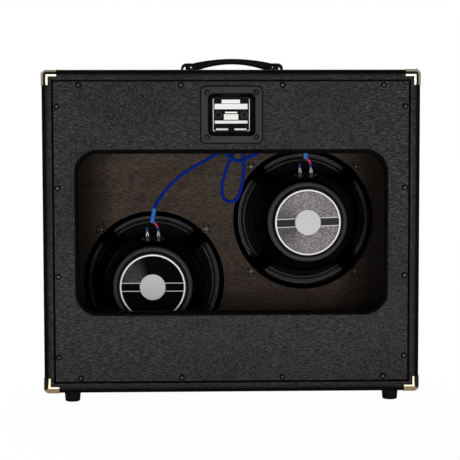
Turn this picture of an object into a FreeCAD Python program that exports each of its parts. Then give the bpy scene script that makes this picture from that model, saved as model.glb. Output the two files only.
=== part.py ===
import FreeCAD, Part
import math
import os

# Open-back guitar speaker cabinet with two 12 inch drivers, in millimetres.
# +Z is up and the front, with the grille, faces -Y. The origin is on the floor below the
# middle of the cabinet. Left and right are as seen from the front, so right is +X.

V = FreeCAD.Vector
SIDES = (-1, 1)

# Shell and its covering
SIDE_ROOM = 27.2
HEIGHT = 600.0
DEPTH = 270.0
BOARD = 17.5
VINYL = 0.8
EDGE_ROUND = 9.0
FINGER_COUNT = 9
SCREW_FIT = 0.2
HEAD_EDGE = 0.35

# Feet
FOOT_HEIGHT = 20.0
FOOT_TOP_RADIUS = 15.5
FOOT_BOTTOM_RADIUS = 14.0
FOOT_EDGE_ROUND = 2.5
FOOT_INSET_X = 50.0
FOOT_INSET_Y = 35.0
FOOT_WELL_RADIUS = 6.5
FOOT_WELL_DEPTH = 11.0
FOOT_SCREW_RADIUS = 2.2
FOOT_SCREW_GRIP = 12.0
FOOT_SCREW_HEAD_RADIUS = 5.0
FOOT_SCREW_HEAD = 3.2

# Corner protectors, eight pressed three-legged caps
CORNER_SHEET = 1.2
CORNER_LEG = 28.0
CORNER_BAND = 12.0

# Battens that carry the baffle and the back panel
BATTEN = 20.0

# Baffle board
BAFFLE = 18.0
BAFFLE_FIT = 0.2
BAFFLE_SETBACK = 37.0
BAFFLE_SCREW_RADIUS = 2.0
BAFFLE_SCREW_LENGTH = 32.0
BAFFLE_SCREW_HEAD_RADIUS = 4.0
BAFFLE_SCREW_HEAD = 2.6
BAFFLE_SCREW_END_X = 50.0
BAFFLE_SCREW_END_Z = 70.0
BAFFLE_ROW_COUNT = 4
BAFFLE_COLUMN_COUNT = 3

# Grille: frame, stretched cloth and hook-and-loop pads
GRILLE_CLEARANCE = 1.2
PAD_LENGTH = 50.0
PAD_WIDTH = 16.0
PAD_END = 50.0
PAD_ROW_COUNT = 3
GRILLE_FRAME = 15.0
GRILLE_BAR = 38.0
GRILLE_CLOTH = 1.0
GRILLE_GAP = 2.5
GRILLE_ROUND = 4.0

# Back panel with its opening
PANEL = 12.0
PANEL_GAP = 1.4
PANEL_SETBACK = 2.0
PANEL_EDGE_ROUND = 2.5
OPENING_BESIDE = 47.3
OPENING_ABOVE = 134.9
OPENING_BELOW = 132.7
OPENING_CORNER = 36.0
OPENING_ROUND = 9.0
PANEL_SCREW_RADIUS = 1.9
PANEL_SCREW_LENGTH = 26.0
PANEL_SCREW_HEAD_RADIUS = 3.7
PANEL_SCREW_HEAD = 2.2
WASHER_RADIUS = 5.6
WASHER_HEIGHT = 1.8
WASHER_LIP = 0.5
WASHER_CROWN = 1.3
ROW_SCREW_END = 50.0
ROW_SCREW_COUNT = 4
COLUMN_SCREW_END = 49.2
COLUMN_SCREW_INNER = 82.0

# Jack plate, a moulded dish let into the back panel
PLATE_RIM_X = 14.25
PLATE_RIM_Z = 14.2
PLATE_CORNER = 11.0
PLATE_THICK = 2.2
PLATE_EDGE_ROUND = 1.4
PLATE_ROOM = 4.2
DISH_DEPTH = 25.0
DISH_WALL = 2.5
DISH_MOUTH_WIDTH = 85.0
DISH_MOUTH_HEIGHT = 76.0
DISH_MOUTH_CORNER = 9.0
DISH_FLARE = 1.5
DISH_TAPER_X = 6.5
DISH_TAPER_Z = 5.5
DISH_FLOOR_CORNER = 5.0
DISH_CUTOUT_GAP = 1.0
PLATE_SCREW_INSET_X = 11.25
PLATE_SCREW_INSET_Z = 11.0
PLATE_SCREW_RADIUS = 1.7
PLATE_SCREW_LENGTH = 12.0
PLATE_SCREW_HEAD_RADIUS = 3.4
PLATE_SCREW_HEAD = 1.9

# Quarter inch jacks
JACK_X = 24.0
JACK_BORE_RADIUS = 3.25
JACK_BUSH_RADIUS = 4.75
JACK_BUSH_FIT = 0.25
JACK_BUSH_STAND = 5.0
JACK_NUT_RADIUS = 7.8
JACK_NUT = 3.6
JACK_BODY_WIDTH = 15.0
JACK_BODY_HEIGHT = 20.0
JACK_BODY_LENGTH = 24.0
JACK_BODY_END = 3.0
JACK_BODY_ROUND = 1.5
LUG_WIDTH = 4.0
LUG_THICK = 0.8
LUG_LENGTH = 7.0
LUG_OFFSET = 3.0

# Strap handle on the top
HANDLE_X = -4.5
HANDLE_HALF_LENGTH = 98.4
HANDLE_WIDTH = 26.0
STRAP_APEX = 26.0
STRAP_UNDER_APEX = 15.8
STRAP_SHOULDER_TOP = 17.0
STRAP_TONGUE_LOW = 0.3
STRAP_TONGUE_HIGH = 4.3
STRAP_END_GAP = 2.5
STRAP_EDGE_ROUND = 3.0
STRAP_SHOULDER_ROUND = 4.5
CAP_LENGTH = 21.5
CAP_LEG = 4.6
CAP_UNDER = 12.4
CAP_TOP = 17.4
CAP_ROUND = 10.5
CAP_INNER_GAP = 1.4
CAP_POST_INSET = 14.4
CAP_POST_RADIUS = 2.9
TONGUE_SLOT_GAP = 1.6
HANDLE_SCREW_RADIUS = 1.9
HANDLE_SCREW_GRIP = 13.0
HANDLE_SCREW_HEAD_RADIUS = 4.2
HANDLE_SCREW_HEAD = 2.4

# Drivers: places, then the basket's pressing from the flange to the seat
DRIVER_NEST = 4.5
DRIVER_BELOW = 14.2
DRIVER_STAGGER = 124.0
CUTOUT_FIT = 1.2
BOLT_INSET = 6.0
BOLT_COUNT = 4
FLANGE_HOLE_COUNT = 8
BOLT_RADIUS = 2.4
BOLT_END = 3.2
BOLT_HEAD_RADIUS = 4.8
BOLT_HEAD = 3.2
TEE_RADIUS = 9.8
TEE_FLANGE = 1.2
TEE_BARREL_RADIUS = 3.3
TEE_BARREL_LENGTH = 9.0
BASKET_SHEET = 1.6
RIM_RADIUS = 138.2
FLANGE_WIDTH = 16.3
RIM_TAPER = 7.2
RIM_DEPTH = 20.0
LEG_RUN = 35.0
LEDGE_WIDTH = 16.0
LEDGE_DEPTH = 68.4
POT_TAPER = 3.5
POT_DEPTH = 19.6
SEAT_HOLE_RADIUS = 40.0
LEG_COUNT = 4
LEG_WIDTH = 31.0
WINDOW_INNER_GAP = 4.0
WINDOW_OUTER_GAP = 0.5
WINDOW_CORNER = 6.0
RIB_RADIUS = 5.0
RIB_START = 0.16
RIB_END = 0.8
RIM_BEND = 2.5
LEG_BEND = 6.0
LEDGE_BEND = 4.0
POT_BEND = 3.0
SEAT_BEND = 3.0

# Cone, surround, spider, dust cap and voice coil
SURROUND_INSET = 5.4
SURROUND_WIDTH = 16.8
SURROUND_ROLL_COUNT = 3
SURROUND_ROLL_HEIGHT = 3.0
PAPER = 0.7
GASKET_OVERHANG = 5.2
GASKET_WIDTH = 10.0
GASKET_THICK = 4.0
CONE_THICK = 1.0
NECK_GAP = 8.4
CONE_BULGE = 8.0
DUST_CAP_RADIUS = 32.0
DUST_CAP_RISE = 12.0
DUST_CAP_SEAT = 0.3
SPIDER_ROLL_COUNT = 10
SPIDER_ROLL_HEIGHT = 2.4
COIL_RADIUS = 22.0
COIL_FORMER = 0.4
COIL_WIRE = 1.0
COIL_WINDING = 13.0
COIL_FORMER_END = 6.0
RUN_GAP = 0.3

# Motor: top plate, magnet, back plate with pole, printed disc and vent cap
TOP_PLATE_STEP = 7.0
TOP_PLATE = 8.0
COIL_CLEARANCE = 1.2
POLE_CLEARANCE = 1.0
VENT_RADIUS = 8.0
MAGNET_RADIUS = 77.0
MAGNET_BORE_RADIUS = 38.0
MAGNET = 22.0
MAGNET_CHAMFER = 2.5
BACK_PLATE_STEP = 8.5
BACK_PLATE = 10.0
BACK_PLATE_CHAMFER = 1.5
LABEL_INSET = 4.5
LABEL = 0.4
VENT_CAP_RADIUS = 25.0
VENT_CAP = 2.5
VENT_CAP_ROUND = 1.2

# Terminals on each basket and what is pushed onto them
STRIP_THICK = 2.0
STRIP_WIDTH = 40.0
STRIP_INNER_GAP = 5.0
STRIP_CORNER = 3.0
TAB_SPACING = 21.6
TAB_WIDTH = 6.3
TAB_THICK = 0.8
TAB_RIVET_RADIUS = 2.2
TAB_RIVET_HEIGHT = 1.0
TAB_INSET = 8.0
TAB_BASE = 3.0
TAB_JOGGLE = 3.0
TAB_LENGTH = 14.0
PUSH_ON_WIDTH = 7.4
PUSH_ON_HEIGHT = 3.4
PUSH_ON_LENGTH = 11.5
PUSH_ON_START = 3.0
PUSH_ON_SLOT_GAP = 0.15
PUSH_ON_BARREL_RADIUS = 2.2
PUSH_ON_BARREL = 2.5
SLEEVE_RADIUS = 3.3
SLEEVE_LENGTH = 8.0
SLEEVE_GAP = 0.3

# Cables: their sizes, and routes chosen by hand from the jacks to the drivers
CABLE_RADIUS = 3.25
BEND_SHARE = 0.45
LEAD_RADIUS = 1.9
BOOT_RADIUS = 4.2
BOOT_SPLIT_RADIUS = 4.8
LOWER_ROUTE = [
    (-24, 76, 537), (-23, 63, 533), (-18, 45, 519), (-6, 32, 499), (10, 27, 478),
    (28, 27, 462), (48, 28, 450.5), (71.5, 27.5, 438), (91.5, 26, 424.5), (109.5, 23, 410),
    (125.5, 18, 392.5), (137, 13, 376), (145.6, 7.8, 362.9), (147.2, 3.5, 354),
]
UPPER_ROUTE = [
    (24, 76, 537), (24.3, 60, 534), (24.8, 50, 522), (23.5, 49, 506), (19.5, 51, 489),
    (10.5, 52, 466.5), (-2, 51, 453.5), (-17, 51, 449.5), (-34, 51.5, 455.5), (-57.5, 53, 468),
    (-66.8, 54.5, 479), (-67.8, 56, 493.5), (-60, 57.5, 506), (-46.7, 58.5, 511.5), (-32.6, 59, 508),
    (-24.2, 59, 496), (-23.6, 58.8, 474), (-25.2, 57.8, 442), (-23.5, 56.5, 414), (-19.3, 55, 394.5),
    (-14.2, 53.8, 379), (-5.6, 52.6, 372.5), (5.1, 51.4, 372.6), (13.6, 50.2, 379), (16.5, 49, 390),
    (16, 47.6, 406), (10.5, 45.5, 426), (3, 43, 446), (-7, 41, 467), (-22, 38, 488), (-43, 33, 506),
    (-70, 27, 517), (-98, 22, 520), (-122, 18, 516.5), (-137, 14.8, 510), (-145.8, 11.8, 501),
    (-149.2, 8.2, 490.4), (-149, 3.5, 480),
]
LOWER_BOOT_END = (151.5, -8, 330.5)
UPPER_BOOT_END = (-148.5, -8, 454.5)
LEAD_SPREAD = 2.1
LEAD_DROP = 1.6
LEAD_RISE = 3.6
BOOT_GAP = 0.3

# Radii and depths of the drivers, from the rim outwards and inwards
FLANGE_RADIUS = RIM_RADIUS + FLANGE_WIDTH
BOLT_CIRCLE_RADIUS = FLANGE_RADIUS - BOLT_INSET
CUTOUT_RADIUS = RIM_RADIUS + BASKET_SHEET + CUTOUT_FIT
RIM_REAR_RADIUS = RIM_RADIUS - RIM_TAPER
LEDGE_OUTER_RADIUS = RIM_REAR_RADIUS - LEG_RUN
LEDGE_INNER_RADIUS = LEDGE_OUTER_RADIUS - LEDGE_WIDTH
SEAT_RADIUS = LEDGE_INNER_RADIUS - POT_TAPER
SEAT_DEPTH = LEDGE_DEPTH + POT_DEPTH
SURROUND_OUTER_RADIUS = RIM_RADIUS - SURROUND_INSET
SURROUND_INNER_RADIUS = SURROUND_OUTER_RADIUS - SURROUND_WIDTH
GASKET_INNER_RADIUS = RIM_RADIUS - GASKET_OVERHANG
GASKET_OUTER_RADIUS = GASKET_INNER_RADIUS + GASKET_WIDTH
CONE_NECK_DEPTH = LEDGE_DEPTH - NECK_GAP
FORMER_RADIUS = COIL_RADIUS + COIL_FORMER
GAP_OUTER_RADIUS = FORMER_RADIUS + COIL_WIRE + COIL_CLEARANCE
POLE_RADIUS = COIL_RADIUS - POLE_CLEARANCE
TOP_PLATE_RADIUS = MAGNET_RADIUS - TOP_PLATE_STEP
BACK_PLATE_RADIUS = MAGNET_RADIUS - BACK_PLATE_STEP
LABEL_RADIUS = BACK_PLATE_RADIUS - LABEL_INSET
SEAT_REAR = SEAT_DEPTH + BASKET_SHEET
TOP_PLATE_REAR = SEAT_REAR + TOP_PLATE
MAGNET_REAR = TOP_PLATE_REAR + MAGNET
BACK_PLATE_REAR = MAGNET_REAR + BACK_PLATE
CONE_EDGE = -BASKET_SHEET - PAPER

# Levels and half sizes that several pieces share, with the box laid out round its drivers
DRIVER_X = FLANGE_RADIUS - DRIVER_NEST
INNER_X = DRIVER_X + FLANGE_RADIUS + SIDE_ROOM
HALF_X = INNER_X + BOARD + VINYL
HALF_Y = DEPTH / 2
BOX_LOW = FOOT_HEIGHT
BOX_HIGH = FOOT_HEIGHT + HEIGHT
INNER_LOW = BOX_LOW + VINYL + BOARD
INNER_HIGH = BOX_HIGH - VINYL - BOARD
BAFFLE_FRONT = -HALF_Y + BAFFLE_SETBACK
BAFFLE_REAR = BAFFLE_FRONT + BAFFLE
PANEL_REAR = HALF_Y - PANEL_SETBACK
PANEL_CORE_REAR = PANEL_REAR - VINYL
PANEL_FRONT = PANEL_CORE_REAR - PANEL
OPENING_LOW = INNER_LOW + PANEL_GAP + OPENING_BELOW
OPENING_HIGH = INNER_HIGH - PANEL_GAP - OPENING_ABOVE
OPENING_Z = (OPENING_LOW + OPENING_HIGH) / 2
OPENING_WIDTH = 2 * (INNER_X - PANEL_GAP - OPENING_BESIDE)
OPENING_HEIGHT = OPENING_HIGH - OPENING_LOW
PLATE_WIDTH = DISH_MOUTH_WIDTH + 2 * PLATE_RIM_X
PLATE_HEIGHT = DISH_MOUTH_HEIGHT + 2 * PLATE_RIM_Z
PLATE_Z = INNER_HIGH - BATTEN - PLATE_ROOM - DISH_WALL - DISH_MOUTH_HEIGHT / 2
DISH_FLOOR_WIDTH = DISH_MOUTH_WIDTH - 2 * DISH_TAPER_X
DISH_FLOOR_HEIGHT = DISH_MOUTH_HEIGHT - 2 * DISH_TAPER_Z
PLATE_SCREW_X = PLATE_WIDTH / 2 - PLATE_SCREW_INSET_X
PLATE_SCREW_Z = PLATE_HEIGHT / 2 - PLATE_SCREW_INSET_Z
PLATE_REAR = PANEL_REAR + PLATE_THICK
DISH_FLOOR_Y = PLATE_REAR - DISH_DEPTH
DISH_UNDER_Y = DISH_FLOOR_Y - DISH_WALL
JACK_BODY_FRONT = DISH_UNDER_Y - JACK_BODY_LENGTH
GRILLE_REAR = BAFFLE_FRONT + CONE_EDGE - GASKET_THICK - GRILLE_CLEARANCE
GRILLE_FRONT = GRILLE_REAR - GRILLE_FRAME
FRAME_X = INNER_X - VINYL - GRILLE_GAP - GRILLE_CLOTH
FRAME_LOW = INNER_LOW + VINYL + GRILLE_GAP + GRILLE_CLOTH
FRAME_HIGH = INNER_HIGH - VINYL - GRILLE_GAP - GRILLE_CLOTH
CAP_INNER_X = HANDLE_HALF_LENGTH - CAP_LENGTH
CAP_POST_X = HANDLE_HALF_LENGTH - CAP_POST_INSET
STRAP_SHOULDER_X = CAP_INNER_X - CAP_INNER_GAP
STRIP_FRONT = LEDGE_DEPTH + BASKET_SHEET
STRIP_REAR = STRIP_FRONT + STRIP_THICK
TAB_LEVEL = STRIP_REAR + TAB_JOGGLE
TAB_RIVET_AT = LEDGE_INNER_RADIUS + TAB_INSET
PUSH_ON_LOW = TAB_RIVET_AT + PUSH_ON_START
PUSH_ON_HIGH = PUSH_ON_LOW + PUSH_ON_LENGTH
SLEEVE_LOW = PUSH_ON_HIGH + SLEEVE_GAP
SLEEVE_HIGH = SLEEVE_LOW + SLEEVE_LENGTH
LOWER_DRIVER_Z = INNER_LOW + DRIVER_BELOW + FLANGE_RADIUS
UPPER_DRIVER_Z = LOWER_DRIVER_Z + DRIVER_STAGGER
DRIVERS = {"upper": (-DRIVER_X, UPPER_DRIVER_Z), "lower": (DRIVER_X, LOWER_DRIVER_Z)}


# Shared helpers

def box(x, y, z):
    """Box between the low and high values of each axis."""
    return Part.makeBox(x[1] - x[0], y[1] - y[0], z[1] - z[0], V(x[0], y[0], z[0]))


def rounded_box(x, y, z, radius):
    """Box with every edge rounded."""
    shape = box(x, y, z)
    return shape.makeFillet(radius, shape.Edges)


def rod_y(x, z, radius, y):
    """Cylinder along Y between two values of y."""
    return Part.makeCylinder(radius, y[1] - y[0], V(x, y[0], z), V(0, 1, 0))


def rod_z(x, y, radius, z):
    """Upright cylinder between two heights."""
    return Part.makeCylinder(radius, z[1] - z[0], V(x, y, z[0]), V(0, 0, 1))


def ring_y(inner, outer, y):
    """Flat ring about the Y axis."""
    return rod_y(0, 0, outer, y).cut(rod_y(0, 0, inner, y))


def moved(shape, x, y, z):
    """Copy of a shape, shifted."""
    return shape.translated(V(x, y, z))


def upright(shape):
    """Turn a shape so that its +Y points up."""
    return shape.rotated(V(0, 0, 0), V(1, 0, 0), 90)


def facing_front(shape):
    """Turn a shape so that its +Y points to the front."""
    return shape.rotated(V(0, 0, 0), V(0, 0, 1), 180)


def profile(start, *steps):
    """Closed face in the XY plane: a point is a line to it, a pair of points an arc through the first."""
    edges = []
    here = V(start[0], start[1], 0)
    for step in steps + (start,):
        curved = isinstance(step[0], tuple)
        end = V(*(step[1] if curved else step), 0)
        if (end - here).Length < 1e-6:
            continue
        if curved:
            edges.append(Part.Arc(here, V(*step[0], 0), end).toShape())
        else:
            edges.append(Part.LineSegment(here, end).toShape())
        here = end
    return Part.Face(Part.Wire(edges))


def turned(face):
    """Solid of revolution about the Y axis."""
    return face.revolve(V(0, 0, 0), V(0, 1, 0), 360)


def slab(face, width):
    """Profile drawn in XY, stood up in XZ and made as thick as given about y = 0."""
    return upright(moved(face.extrude(V(0, 0, width)), 0, 0, -width / 2))


def rounded_rectangle(width, height, radius, y, z):
    """Wire of a rounded rectangle that faces Y, about x = 0."""
    a = width / 2
    b = height / 2
    k = radius * (1 - math.sqrt(0.5))
    corners = [(1, 1), (-1, 1), (-1, -1), (1, -1)]
    edges = []
    for i, (sx, sz) in enumerate(corners):
        beside = V(sx * a, y, z + sz * (b - radius))
        above = V(sx * (a - radius), y, z + sz * b)
        middle = V(sx * (a - k), y, z + sz * (b - k))
        first, last = (beside, above) if sx == sz else (above, beside)
        edges.append(Part.Arc(first, middle, last).toShape())
        nx, nz = corners[(i + 1) % 4]
        if nx == sx:
            after = V(nx * a, y, z + nz * (b - radius))
        else:
            after = V(nx * (a - radius), y, z + nz * b)
        edges.append(Part.LineSegment(last, after).toShape())
    return Part.Wire(edges)


def prism(wire, depth):
    """Solid that runs from a wire along Y."""
    return Part.Face(wire).extrude(V(0, depth, 0))


def frustum(wires):
    """Ruled solid through wires."""
    return Part.makeLoft(wires, True, True)


def bent_line(points, radii):
    """Wire of straight runs joined by tangent arcs, with one radius per inner point."""
    points = [V(*p) for p in points]
    edges = []
    here = points[0]
    for before, at, after, radius in zip(points, points[1:], points[2:], radii):
        into = (at - before).normalize()
        out = (after - at).normalize()
        half = into.getAngle(out) / 2
        first = at - into * (radius * math.tan(half))
        last = at + out * (radius * math.tan(half))
        middle = at + (out - into).normalize() * (radius / math.cos(half) - radius)
        edges.append(Part.LineSegment(here, first).toShape())
        edges.append(Part.Arc(first, middle, last).toShape())
        here = last
    edges.append(Part.LineSegment(here, points[-1]).toShape())
    return Part.Wire(edges)


def cord_radii(points):
    """Largest bend at each inner point of a route that its two runs leave room for."""
    points = [V(*p) for p in points]
    radii = []
    for before, at, after in zip(points, points[1:], points[2:]):
        run = min((at - before).Length, (after - at).Length)
        half = (at - before).getAngle(after - at) / 2
        radii.append(BEND_SHARE * run / math.tan(half))
    return radii


def cord(name, points, radius):
    """Round tube along a route; prints its least bend and how true its volume is."""
    radii = cord_radii(points)
    path = bent_line(points, radii)
    along = V(*points[1]) - V(*points[0])
    section = Part.Wire(Part.makeCircle(radius, V(*points[0]), along))
    tube = path.makePipeShell([section], True, False)
    true = tube.Volume / (math.pi * radius ** 2 * path.Length)
    print(name, "length", round(path.Length, 1), "least bend", round(min(radii), 1), "volume", round(true, 4))
    return tube


def dome(radius, rise):
    """Point halfway up a spherical cap's section: its distance from the axis and below the crown."""
    sphere = (radius ** 2 + rise ** 2) / (2 * rise)
    half = math.asin(radius / sphere) / 2
    return sphere * math.sin(half), sphere * (1 - math.cos(half))


def domed_screw(radius, length, head_radius, head):
    """Screw along Y: its head stands on y = 0 and its shank runs to -Y."""
    shoulder = head * HEAD_EDGE
    out, down = dome(head_radius, head - shoulder)
    return turned(profile(
        (0, -length), (radius, -length), (radius, 0), (head_radius, 0), (head_radius, shoulder),
        ((out, head - down), (0, head))))


def flat_screw(radius, length, head_radius, head):
    """Countersunk screw along Y, flush with y = 0, with its shank to -Y."""
    return turned(profile((0, -length), (radius, -length), (radius, -head), (head_radius, 0), (0, 0)))


def group(shapes):
    """Separate solids of one node."""
    return Part.makeCompound(list(shapes))


def spread(low, high, count):
    """Evenly spaced values from low to high."""
    return [low + (high - low) * i / (count - 1) for i in range(count)]


def wave(start, end, level, count, height):
    """Steps of a profile line in half waves, the first of them towards +Y if height is positive."""
    pitch = (end - start) / count
    steps = []
    for i in range(count):
        crest = level + (height if i % 2 == 0 else -height)
        steps.append(((start + pitch * (i + 0.5), crest), (start + pitch * (i + 1), level)))
    return steps


def sheet_ring(start, steps, thick):
    """Ring whose section follows a line of steps, as thick as given along Y."""
    line = [V(*start, 0)]
    edges = []
    for step in steps:
        curved = isinstance(step[0], tuple)
        end = V(*(step[1] if curved else step), 0)
        if curved:
            edges.append(Part.Arc(line[-1], V(*step[0], 0), end).toShape())
        else:
            edges.append(Part.LineSegment(line[-1], end).toShape())
        line.append(end)
    lift = V(0, thick, 0)
    edges.append(Part.LineSegment(line[-1], line[-1] + lift).toShape())
    edges += [edge.translated(lift) for edge in reversed(edges[:-1])]
    edges.append(Part.LineSegment(line[0] + lift, line[0]).toShape())
    return turned(Part.Face(Part.Wire(Part.__sortEdges__(edges))))


# Shell boards and covering

def shell_ring():
    """The four boards before they are parted, with the outside edges rounded."""
    x = (-HALF_X + VINYL, HALF_X - VINYL)
    y = (-HALF_Y + VINYL, HALF_Y - VINYL)
    z = (BOX_LOW + VINYL, BOX_HIGH - VINYL)
    return rounded_box(x, y, z, EDGE_ROUND - VINYL).cut(inner_space(-HALF_Y, HALF_Y, 0))


def inner_space(front, rear, shrink):
    """Inside of the shell between two values of y, drawn in by a skin."""
    return box((-INNER_X + shrink, INNER_X - shrink), (front, rear),
               (INNER_LOW + shrink, INNER_HIGH - shrink))


def finger_boxes(first):
    """Every other finger of the corner joints, as boxes that stand in the four corners."""
    step = DEPTH / FINGER_COUNT
    boxes = []
    for i in range(first, FINGER_COUNT, 2):
        y = (-HALF_Y + i * step, -HALF_Y + (i + 1) * step)
        for x in ((-HALF_X, -INNER_X), (INNER_X, HALF_X)):
            for z in ((BOX_LOW, INNER_LOW), (INNER_HIGH, BOX_HIGH)):
                boxes.append(box(x, y, z))
    return boxes


def boards():
    """Top, bottom, left and right boards with interlocking fingers at the corners."""
    ring = shell_ring()
    y = (-HALF_Y, HALF_Y)
    spans = {
        "top_board": (box((-INNER_X, INNER_X), y, (INNER_HIGH, BOX_HIGH)), 0),
        "bottom_board": (box((-INNER_X, INNER_X), y, (BOX_LOW, INNER_LOW)), 0),
        "left_board": (box((-HALF_X, -INNER_X), y, (INNER_LOW, INNER_HIGH)), 1),
        "right_board": (box((INNER_X, HALF_X), y, (INNER_LOW, INNER_HIGH)), 1),
    }
    made = {}
    for name, (span, first) in spans.items():
        near = [b for b in finger_boxes(first) if b.distToShape(span)[0] < 1e-6]
        made[name] = ring.common(span.fuse(near)).removeSplitter()
    holes = group(foot_screws(SCREW_FIT))
    made["bottom_board"] = made["bottom_board"].cut(holes)
    made["top_board"] = made["top_board"].cut(group(handle_screws(SCREW_FIT)))
    return made


def shell_covering():
    """Vinyl skin round the boards, over their edges and in as far as the baffle's front."""
    outer = outer_form(0)
    skin = outer.cut(shell_ring())
    skin = skin.cut(inner_space(BAFFLE_FRONT, HALF_Y, 0))
    skin = skin.cut(inner_space(-HALF_Y, BAFFLE_FRONT, VINYL))
    return skin.cut(group(foot_screws(SCREW_FIT) + handle_screws(SCREW_FIT)))


def outer_form(grow):
    """Rounded block of the cabinet's outside, grown by a skin."""
    x = (-HALF_X - grow, HALF_X + grow)
    y = (-HALF_Y - grow, HALF_Y + grow)
    z = (BOX_LOW - grow, BOX_HIGH + grow)
    return rounded_box(x, y, z, EDGE_ROUND + grow)


def corner_protectors():
    """Pressed caps whose three legs wrap the edges that meet at each corner."""
    skin = outer_form(CORNER_SHEET).cut(outer_form(0))

    def reach(limit, size, side):
        """Span that goes from outside a face to a depth within it."""
        return tuple(sorted((side * (limit - size), side * (limit + 2 * CORNER_SHEET))))

    middle = (BOX_LOW + BOX_HIGH) / 2
    caps = []
    for sx in SIDES:
        for sy in SIDES:
            for sz in SIDES:
                legs = []
                for long_axis in range(3):
                    size = [CORNER_BAND] * 3
                    size[long_axis] = CORNER_LEG
                    z = reach(HEIGHT / 2, size[2], sz)
                    legs.append(box(reach(HALF_X, size[0], sx), reach(HALF_Y, size[1], sy),
                                    (middle + z[0], middle + z[1])))
                caps.append(skin.common(legs[0].fuse(legs[1:])).removeSplitter())
    return group(caps)


# Feet

def foot_places():
    """Centres of the four feet."""
    return [(sx * (HALF_X - FOOT_INSET_X), sy * (HALF_Y - FOOT_INSET_Y)) for sx in SIDES for sy in SIDES]


def feet():
    """Tapered rubber feet with a well for the screw's head."""
    r = FOOT_EDGE_ROUND
    k = r * (1 - math.sqrt(0.5))
    well = FOOT_WELL_RADIUS
    hole = FOOT_SCREW_RADIUS + SCREW_FIT
    foot = upright(turned(profile(
        (well, 0), (FOOT_BOTTOM_RADIUS - r, 0),
        ((FOOT_BOTTOM_RADIUS - k, k), (FOOT_BOTTOM_RADIUS, r)),
        (FOOT_TOP_RADIUS, FOOT_HEIGHT), (hole, FOOT_HEIGHT), (hole, FOOT_WELL_DEPTH),
        (well, FOOT_WELL_DEPTH))))
    return group(moved(foot, x, y, 0) for x, y in foot_places())


def foot_screws(grow=0):
    """Screws up through the feet; grown, they make the holes for themselves."""
    length = FOOT_HEIGHT - FOOT_WELL_DEPTH + FOOT_SCREW_GRIP
    screw = domed_screw(FOOT_SCREW_RADIUS + grow, length + grow, FOOT_SCREW_HEAD_RADIUS, FOOT_SCREW_HEAD)
    screw = upright(screw).rotated(V(0, 0, 0), V(1, 0, 0), 180)
    return [moved(screw, x, y, FOOT_WELL_DEPTH) for x, y in foot_places()]


# Battens, baffle and its screws

def batten_frame(y):
    """Four battens round the inside of the shell."""
    side_z = (INNER_LOW + BATTEN, INNER_HIGH - BATTEN)
    return [
        box((-INNER_X, INNER_X), y, (INNER_HIGH - BATTEN, INNER_HIGH)),
        box((-INNER_X, INNER_X), y, (INNER_LOW, INNER_LOW + BATTEN)),
        box((-INNER_X, -INNER_X + BATTEN), y, side_z),
        box((INNER_X - BATTEN, INNER_X), y, side_z),
    ]


def baffle_battens():
    """Battens behind the baffle, with the holes of its screws."""
    holes = group(baffle_screws(SCREW_FIT))
    return group(b.cut(holes) for b in batten_frame((BAFFLE_REAR, BAFFLE_REAR + BATTEN)))


def rear_battens():
    """Battens in front of the back panel, with the holes of its screws."""
    holes = group(panel_screws(SCREW_FIT))
    return group(b.cut(holes) for b in batten_frame((PANEL_FRONT - BATTEN, PANEL_FRONT)))


def baffle_board():
    """Board with two round cut-outs and the tee nuts' holes."""
    x = (-INNER_X + BAFFLE_FIT, INNER_X - BAFFLE_FIT)
    z = (INNER_LOW + BAFFLE_FIT, INNER_HIGH - BAFFLE_FIT)
    y = (BAFFLE_FRONT, BAFFLE_REAR)
    tools = [rod_y(cx, cz, CUTOUT_RADIUS, y) for cx, cz in DRIVERS.values()]
    tools += [rod_y(x0, z0, TEE_BARREL_RADIUS + SCREW_FIT, y) for x0, z0 in bolt_places()]
    return box(x, y, z).cut(group(tools)).cut(group(baffle_screws(SCREW_FIT)))


def baffle_screws(grow=0):
    """Countersunk screws through the baffle's edge into its battens."""
    screw = facing_front(flat_screw(BAFFLE_SCREW_RADIUS + grow, BAFFLE_SCREW_LENGTH + grow,
                                    BAFFLE_SCREW_HEAD_RADIUS + grow, BAFFLE_SCREW_HEAD))
    across = spread(-INNER_X + BAFFLE_SCREW_END_X, INNER_X - BAFFLE_SCREW_END_X, BAFFLE_ROW_COUNT)
    up = spread(INNER_LOW + BAFFLE_SCREW_END_Z, INNER_HIGH - BAFFLE_SCREW_END_Z, BAFFLE_COLUMN_COUNT)
    places = [(x, z) for x in across for z in (INNER_LOW + BATTEN / 2, INNER_HIGH - BATTEN / 2)]
    places += [(sx * (INNER_X - BATTEN / 2), z) for sx in SIDES for z in up]
    return [moved(screw, x, BAFFLE_FRONT, z) for x, z in places]


# Grille

def grille_frame():
    """Frame of four bars, rounded where the cloth goes over it."""
    y = (GRILLE_FRONT, GRILLE_REAR)
    frame = tray_block(0, GRILLE_ROUND)
    window = box((-FRAME_X + GRILLE_BAR, FRAME_X - GRILLE_BAR), y,
                 (FRAME_LOW + GRILLE_BAR, FRAME_HIGH - GRILLE_BAR))
    return frame.cut(window)


def tray_block(grow, radius):
    """Block of the grille frame's outside, grown on all but its back, with its front edges rounded."""
    block = box((-FRAME_X - grow, FRAME_X + grow), (GRILLE_FRONT - grow, GRILLE_REAR),
                (FRAME_LOW - grow, FRAME_HIGH + grow))
    front = [e for e in block.Edges if max(v.Y for v in e.Vertexes) < GRILLE_REAR - GRILLE_FRAME / 2]
    return block.makeFillet(radius, front)


def grille_cloth():
    """Cloth stretched over the front of the frame and down its sides."""
    return tray_block(GRILLE_CLOTH, GRILLE_ROUND + GRILLE_CLOTH).cut(tray_block(0, GRILLE_ROUND))


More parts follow.
